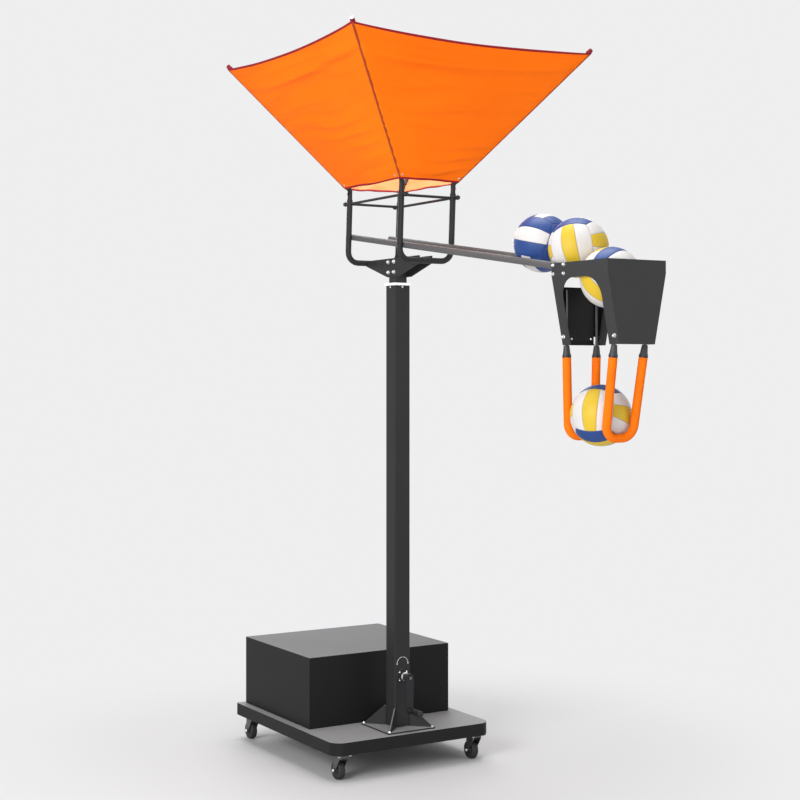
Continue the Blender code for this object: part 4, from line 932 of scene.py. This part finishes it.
casters = ("front_left", "front_right", "rear_left", "rear_right")
TYRE_INSIDE = 0.0288
RIBS = 6
RIB_MIDDLE = 0.0210
RIB_OUT = 0.0112
RIB = (0.0150, 0.0024, 0.0024, 1)
RIB_EDGE = 0.0007
wheel_profile = [(0.0046, 0.0160), (0.0125, 0.0160), (0.0138, 0.0154), (0.0145, 0.0133), (0.0152, 0.0116),
                 (0.0215, 0.0109), (0.0272, 0.0111), (0.0284, 0.0121), (0.0292, 0.0137), (0.0318, 0.0141),
                 (0.0346, 0.0126), (0.0364, 0.0104), (0.0372, 0.0080), (0.0375, 0.0064), (0.0374, 0.0057),
                 (0.0360, 0.0053), (0.0358, 0.0044), (0.0372, 0.0039), (0.0375, 0.0032)]
wheel_profile += [(r, -z) for r, z in reversed(wheel_profile)]
for label in casters:
    wheel = lathe(wheel_profile, 64)
    for face in wheel.faces:
        middle = face.calc_center_median()
        face.material_index = 0 if math.hypot(middle.x, middle.y) > TYRE_INSIDE else 1
    for side in (-1, 1):
        for k in range(RIBS):
            rib = bmesh.new()
            bmesh.ops.create_cube(rib, size=1.0, matrix=Matrix.Diagonal(RIB))
            bmesh.ops.bevel(rib, geom=rib.edges[:], offset=RIB_EDGE, segments=2, profile=0.5, affect='EDGES',
                            material=-1)
            for face in rib.faces:
                face.material_index = 1
            gather(wheel, rib, Matrix.Rotation(math.radians(360 / RIBS * k), 4, 'Z')
                   @ Matrix.Translation((RIB_MIDDLE, 0, side * RIB_OUT)))
    low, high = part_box("caster_wheel_" + label)
    put(wheel, Matrix.Translation((low + high) / 2) @ Matrix.Rotation(QUARTER, 4, 'Y'))
    piece("wheel_" + label, wheel, [TYRE, HUB], "wheel_" + label, 30, ["caster_wheel_" + label])

# Fasteners, each seated at zero on its Z and sunk a little into what it holds

WASHER = 0.0012
WASHER_EDGE = 0.0008
SUNK = -0.0004
NEXT_TURN = 0.7


def on_washer(head, radius, spread):
    """A head on a plain washer that spreads past it."""
    rim = radius * spread
    return gather(head, lathe([(0, WASHER), (rim - radius * 0.06, WASHER), (rim, WASHER_EDGE), (rim, SUNK),
                               (0, SUNK)], 24))


def hexagon(radius, height):
    work = bmesh.new()
    bmesh.ops.create_cone(work, cap_ends=True, segments=6, radius1=radius, radius2=radius, depth=height,
                          matrix=Matrix.Translation((0, 0, height / 2 + WASHER)))
    return work


def hex_bolt(radius, height):
    """A hex head with a chamfered top."""
    work = hexagon(radius, height)
    top = [e for e in work.edges if all(v.co.z > height for v in e.verts)]
    bmesh.ops.bevel(work, geom=top, offset=radius * 0.16, segments=2, profile=0.5, affect='EDGES',
                    material=-1)
    return on_washer(work, radius, 1.34)


def cap_nut(radius, height):
    """A hex nut with a dome."""
    flats = height * 0.52
    rise = height - flats
    foot = flats + 0.0010
    angles = [math.radians(15 * k) for k in range(6)]
    dome = [(radius * 0.84 * math.cos(angle), foot + rise * math.sin(angle)) for angle in angles]
    work = gather(hexagon(radius, flats), lathe([(0, flats), *dome, (0, foot + rise)], 24))
    return on_washer(work, radius, 1.28)


def button_screw(radius, height):
    """A domed screw head with a round driver recess."""
    return lathe([(0, height * 0.45), (radius * 0.34, height * 0.45), (radius * 0.42, height),
                  (radius * 0.62, height * 0.92), (radius * 0.86, height * 0.62), (radius, height * 0.22),
                  (radius, SUNK), (0, SUNK)], 24)


def fasteners(name, shape, size, spots, body):
    """Fasteners of one radius and height at each (point, direction), each turned a little from the last."""
    work = bmesh.new()
    for k, (point, direction) in enumerate(spots):
        gather(work, shape(*size), facing(point, direction, k * NEXT_TURN))
    piece(name, work, [CHROME], body)


def both_sides(x, depths, heights, rise=0.0):
    """Places at each Y and Z on the left side and then on the right, looking outwards."""
    return [(at(side * x, y, z), (side, 0, rise)) for side in (-1, 1) for y in depths for z in heights]


FOOT_TOP_Z = 0.157 + GAP + 0.006
FOOT_BOLT = 0.1008
OUTER_FACE = 0.036
BUSH_SCREW_Z = 1.9490
CRANK_Z = 0.370
FLANGE_SCREW = 0.0165
FLANGE_FACE_Y = -0.0413
fasteners("foot_plate_bolts", hex_bolt, (0.0056, 0.0052),
          [(at(x * FOOT_BOLT, y * FOOT_BOLT, FOOT_TOP_Z), SKYWARD) for x in (-1, 1) for y in (-1, 1)], "base")
fasteners("bush_screws", button_screw, (0.0046, 0.0030),
          [(at(x * OUTER_FACE, y * OUTER_FACE, BUSH_SCREW_Z), (x, y, 0))
           for x, y in ((-1, 0), (1, 0), (0, -1), (0, 1))], "base")
fasteners("flange_screws", button_screw, (0.0040, 0.0032),
          [(at(x * FLANGE_SCREW, FLANGE_FACE_Y, CRANK_Z + z * FLANGE_SCREW), (0, -1, 0))
           for x in (-1, 1) for z in (-1, 1)], "base")

BRACKET_FACE = 0.0318
BRACKET_BOLT_Y = (-0.022, 0.022)
BRACKET_BOLT_Z = (2.051, 2.0095)
RAIL_BOLT_Y = (-1.209, -1.267)
RAIL_BOLT_Z = (1.9655, 1.9360)
CHUTE_HALF = 0.122
CHUTE_BOTTOM_HALF = 0.075
CHUTE_FOLD_Z = 1.930
CHUTE_FOOT_FACE = 0.0806
CHUTE_FOOT_Y = (-1.2120, -1.4825)
CHUTE_FOOT_Z = 1.7255
STRIP_FACE_Y = -1.2052
STRIP_SCREW_X = 0.0415
STRIP_SCREW_Z = 1.7190
side_slope = (CHUTE_HALF - CHUTE_BOTTOM_HALF) / (CHUTE_FOLD_Z - CHUTE_BOTTOM_Z)
fasteners("bracket_bolts", cap_nut, (0.0064, 0.0086),
          both_sides(BRACKET_FACE, BRACKET_BOLT_Y, BRACKET_BOLT_Z), "lift")
fasteners("chute_rail_bolts", cap_nut, (0.0048, 0.0068),
          both_sides(CHUTE_HALF, RAIL_BOLT_Y, RAIL_BOLT_Z), "lift")
fasteners("chute_foot_bolts", cap_nut, (0.0060, 0.0092),
          both_sides(CHUTE_FOOT_FACE, CHUTE_FOOT_Y, [CHUTE_FOOT_Z], -side_slope), "lift")
fasteners("rear_strip_screws", button_screw, (0.0050, 0.0034),
          [(at(x, STRIP_FACE_Y, STRIP_SCREW_Z), (0, -1, 0)) for x in (-STRIP_SCREW_X, STRIP_SCREW_X)], "lift")

CASTER_X = 0.315
CASTER_FRONT_Y = -0.086
CASTER_REAR_Y = 0.698
CASTER_TRAIL = 0.020
WHEEL_RADIUS = 0.0375
PLATE_UNDER_Z = 0.1032
PLATE_NUT_X = 0.0245
PLATE_NUT_Y = 0.0315
AXLE_END_X = 0.0240
for label in casters:
    x = CASTER_X if "right" in label else -CASTER_X
    y = CASTER_FRONT_Y if "front" in label else CASTER_REAR_Y
    fasteners("plate_nuts_" + label, hex_bolt, (0.0052, 0.0034),
              [(at(x + across * PLATE_NUT_X, y + along * PLATE_NUT_Y, PLATE_UNDER_Z), -SKYWARD)
               for across in (-1, 1) for along in (-1, 1)], "base")
    fasteners("axle_nuts_" + label, button_screw, (0.0070, 0.0030),
              [(at(x + side * AXLE_END_X, y + CASTER_TRAIL, WHEEL_RADIUS), (side, 0, 0)) for side in (-1, 1)],
              "fork_" + label)

COLLAR_Y = -0.0592
collar = lathe([(0.0066, 0.0), (0.0160, 0.0), (0.0176, -0.0010), (0.0178, -0.0034), (0.0168, -0.0044),
                (0.0066, -0.0044)], 40)
put(collar, facing(at(0, COLLAR_Y, CRANK_Z), (0, -1, 0)))
piece("crank_collar", collar, [CHROME], "crank")

# Turning marks above the crank: two curved arrows

MARK_REACH = 0.0255
MARK_WIDTH = 0.0020
MARK_START = 4
MARK_END = 92
MARK_HEAD = 0.0048
MARK_THICK = 0.0003
MARK_OFF = 0.0001
MARK_RISE = 0.0505
marks = bmesh.new()
centre = at(0, -OUTER_FACE - MARK_OFF, CRANK_Z + MARK_RISE)
for side in (-1, 1):
    start, end = [math.radians(90 + turn * side) for turn in (MARK_START, MARK_END)]

    def on_arc(s, t):
        angle = start + (end - start) * s
        reach = MARK_REACH + MARK_WIDTH * (t - 0.5)
        return centre + Vector((math.cos(angle) * reach, 0, math.sin(angle) * reach))

    gather(marks, laid_out(24, 1, on_arc))
    head = bmesh.new()
    bmesh.ops.create_circle(head, cap_ends=True, segments=3, radius=MARK_HEAD)
    gather(marks, head, Matrix.Translation(on_arc(1, 0.5)) @ Matrix.Rotation(-(end + QUARTER * side), 4, 'Y')
           @ Matrix.Rotation(QUARTER, 4, 'X') @ Matrix.Rotation(-QUARTER, 4, 'Z'))
bmesh.ops.remove_doubles(marks, verts=marks.verts, dist=MEET)
for face in marks.faces:
    if face.normal.y > 0:
        face.normal_flip()
turning_marks = piece("turning_marks", marks, [MARK], "base")
thicken(turning_marks, "enamel", MARK_THICK, 1.0)

# Crank grip with a waist and an end cap

GRIP_FOOT_Y = -0.0958
CRANK_ARM = 0.131
grip = lathe([(0.0046, 0.0820), (0.0090, 0.0820), (0.0115, 0.0808), (0.0127, 0.0780), (0.0131, 0.0740),
              (0.0130, 0.0680), (0.0126, 0.0600), (0.0122, 0.0480), (0.0117, 0.0340), (0.0114, 0.0240),
              (0.0113, 0.0130), (0.0119, 0.0105), (0.0128, 0.0085), (0.0131, 0.0060), (0.0128, 0.0030),
              (0.0115, 0.0008), (0.0046, 0.0004)], 40)
gather(grip, lathe([(0, 0.0832), (0.0052, 0.0832), (0.0066, 0.0822), (0.0066, 0.0800), (0, 0.0800)], 24))
put(grip, facing(at(0, GRIP_FOOT_Y, CRANK_Z - CRANK_ARM), (0, -1, 0)))
piece("grip_handle", grip, [BLACK], "grip", stands_for=["crank_grip"])

# Clamp knobs with lobes

KNOB_LOBE = 0.10
KNOB_LOBES = 6
KNOB_CORE = 0.006
KNOB_MIDDLE = 0.0105
KNOB_TOP = 0.0163
for label in casters:
    low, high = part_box("clamp_knob_" + label)
    outward, tip = (-1, low) if "front" in label else (1, high)
    axis = Vector((0, outward * math.cos(POST_LEAN), outward * math.sin(POST_LEAN)))
    knob = lathe([(0, 0.0160), (0.0062, 0.0160), (0.0084, 0.0148), (0.0094, 0.0120), (0.0096, 0.0060),
                  (0.0090, 0.0024), (0.0070, 0.0004), (0.0050, 0), (0.0050, -0.0040), (0, -0.0040)], 48)
    for vert in knob.verts:
        if math.hypot(vert.co.x, vert.co.y) > KNOB_CORE:
            lobe = 1 - KNOB_LOBE * (1 + math.cos(KNOB_LOBES * math.atan2(vert.co.y, vert.co.x))) / 2
            vert.co.x *= lobe
            vert.co.y *= lobe
    gather(knob, lathe([(0, 0.001), (0.0034, 0.001), (0.0034, -0.021), (0.0028, -0.022), (0, -0.022)], 20))
    end = Vector(((low.x + high.x) / 2, tip.y, tip.z - outward * KNOB_MIDDLE))
    put(knob, facing(end - axis * KNOB_TOP, axis))
    piece("knob_" + label, knob, [BLACK], "knob_" + label, stands_for=["clamp_knob_" + label])

# Weld beads along the mast foot's gussets

GUSSET_IN = 0.050
GUSSET_OUT = 0.134
GUSSET_HALF = 0.0028
BEAD_LOW = 0.002
BEAD_HIGH = 0.074
LEVEL_BEAD = 0.0022
UPRIGHT_BEAD = 0.0020
RIPPLE = 0.0016


def bead(start, end, radius, seed):
    """A row of overlapping weld ripples between two points."""
    line = spaced([start, end], RIPPLE)
    radii = [radius * (0.82 + 0.18 * abs(math.sin(k * 1.25 + seed))) for k in range(len(line))]
    radii[0] = radii[-1] = radius * 0.4
    return tube(line, radii, 8)


welds = bmesh.new()
for k in range(4):
    angle = math.radians(45 + 90 * k)
    out = Vector((math.cos(angle), math.sin(angle), 0))
    for side in (-1, 1):
        line = at(0, 0, FOOT_TOP_Z) + Vector((-out.y, out.x, 0)) * GUSSET_HALF * side
        inner = line + out * GUSSET_IN
        gather(welds, bead(inner, line + out * GUSSET_OUT, LEVEL_BEAD, k))
        gather(welds, bead(inner + SKYWARD * BEAD_LOW, inner + SKYWARD * BEAD_HIGH, UPRIGHT_BEAD, k + 2))
piece("foot_weld_beads", welds, [CHARCOAL], "base", 60)

# Studio: a floor that turns from its own colour under the object to plain paper

PAPER = (0.86, 0.86, 0.87, 1.0)
FLOOR_COLOUR = (0.62, 0.62, 0.63, 1.0)
WORLD_LIGHT = 0.38
DECK_MIDDLE = at(0, 0.31, 0)
OWN_REACH = 1.0
PAPER_REACH = 2.2
FLOOR_RADIUS = 14.0
paper_floor = Finish("paper_floor", Base_Color=FLOOR_COLOUR, Roughness=0.85, Specular_IOR_Level=0.1)
away = paper_floor.node("VectorMath", {"operation": 'DISTANCE'}, {0: paper_floor.here(), 1: DECK_MIDDLE},
                        output="Value")
own_colour = Value(paper_floor, paper_floor.shader.outputs[0])
glow = paper_floor.node("Emission", sockets={"Color": PAPER, "Strength": 1.0})
paper_floor.part_shown("Material Output", own_colour, glow, paper_floor.band(away, OWN_REACH, PAPER_REACH))
ground = bmesh.new()
bmesh.ops.create_circle(ground, cap_ends=True, segments=96, radius=FLOOR_RADIUS)
finished("floor", ground, [paper_floor.material])

world = bpy.data.worlds.new("studio")
world.use_nodes = True
scene.world = world
sky = Nodes(world.node_tree)
soft_light = sky.node("Background", sockets={"Color": (1.0, 1.0, 1.0, 1.0), "Strength": WORLD_LIGHT})
paper = sky.node("Background", sockets={"Color": PAPER, "Strength": 1.0})
sky.part_shown("World Output", soft_light, paper)


def soft_lamp(name, place, aim, size, power):
    lamp = bpy.data.lights.new(name, 'AREA')
    lamp.shape = 'RECTANGLE'
    lamp.size, lamp.size_y = size
    lamp.energy = power
    made = bpy.data.objects.new(name, lamp)
    made.location = place
    made.rotation_euler = (Vector(place) - Vector(aim)).to_track_quat('Z', 'Y').to_euler()
    scene.collection.objects.link(made)


soft_lamp("key_lamp", (-5.2, -2.2, 3.0), (0, 0, 1.7), (2.6, 2.6), 268)
soft_lamp("fill_lamp", (3.6, -5.0, 2.0), (0, 0, 1.6), (3.0, 3.0), 45)
soft_lamp("front_lamp", (-4.4, -7.4, 0.7), (0, 0, 2.3), (3.2, 1.8), 205)
soft_lamp("top_lamp", (0.2, 0.3, 6.2), (0, 0, 0), (3.4, 3.4), 282)
soft_lamp("back_lamp", (1.5, 5.0, 3.6), (0, 0, 1.4), (3.0, 2.4), 90)

scene.view_settings.view_transform = 'Standard'
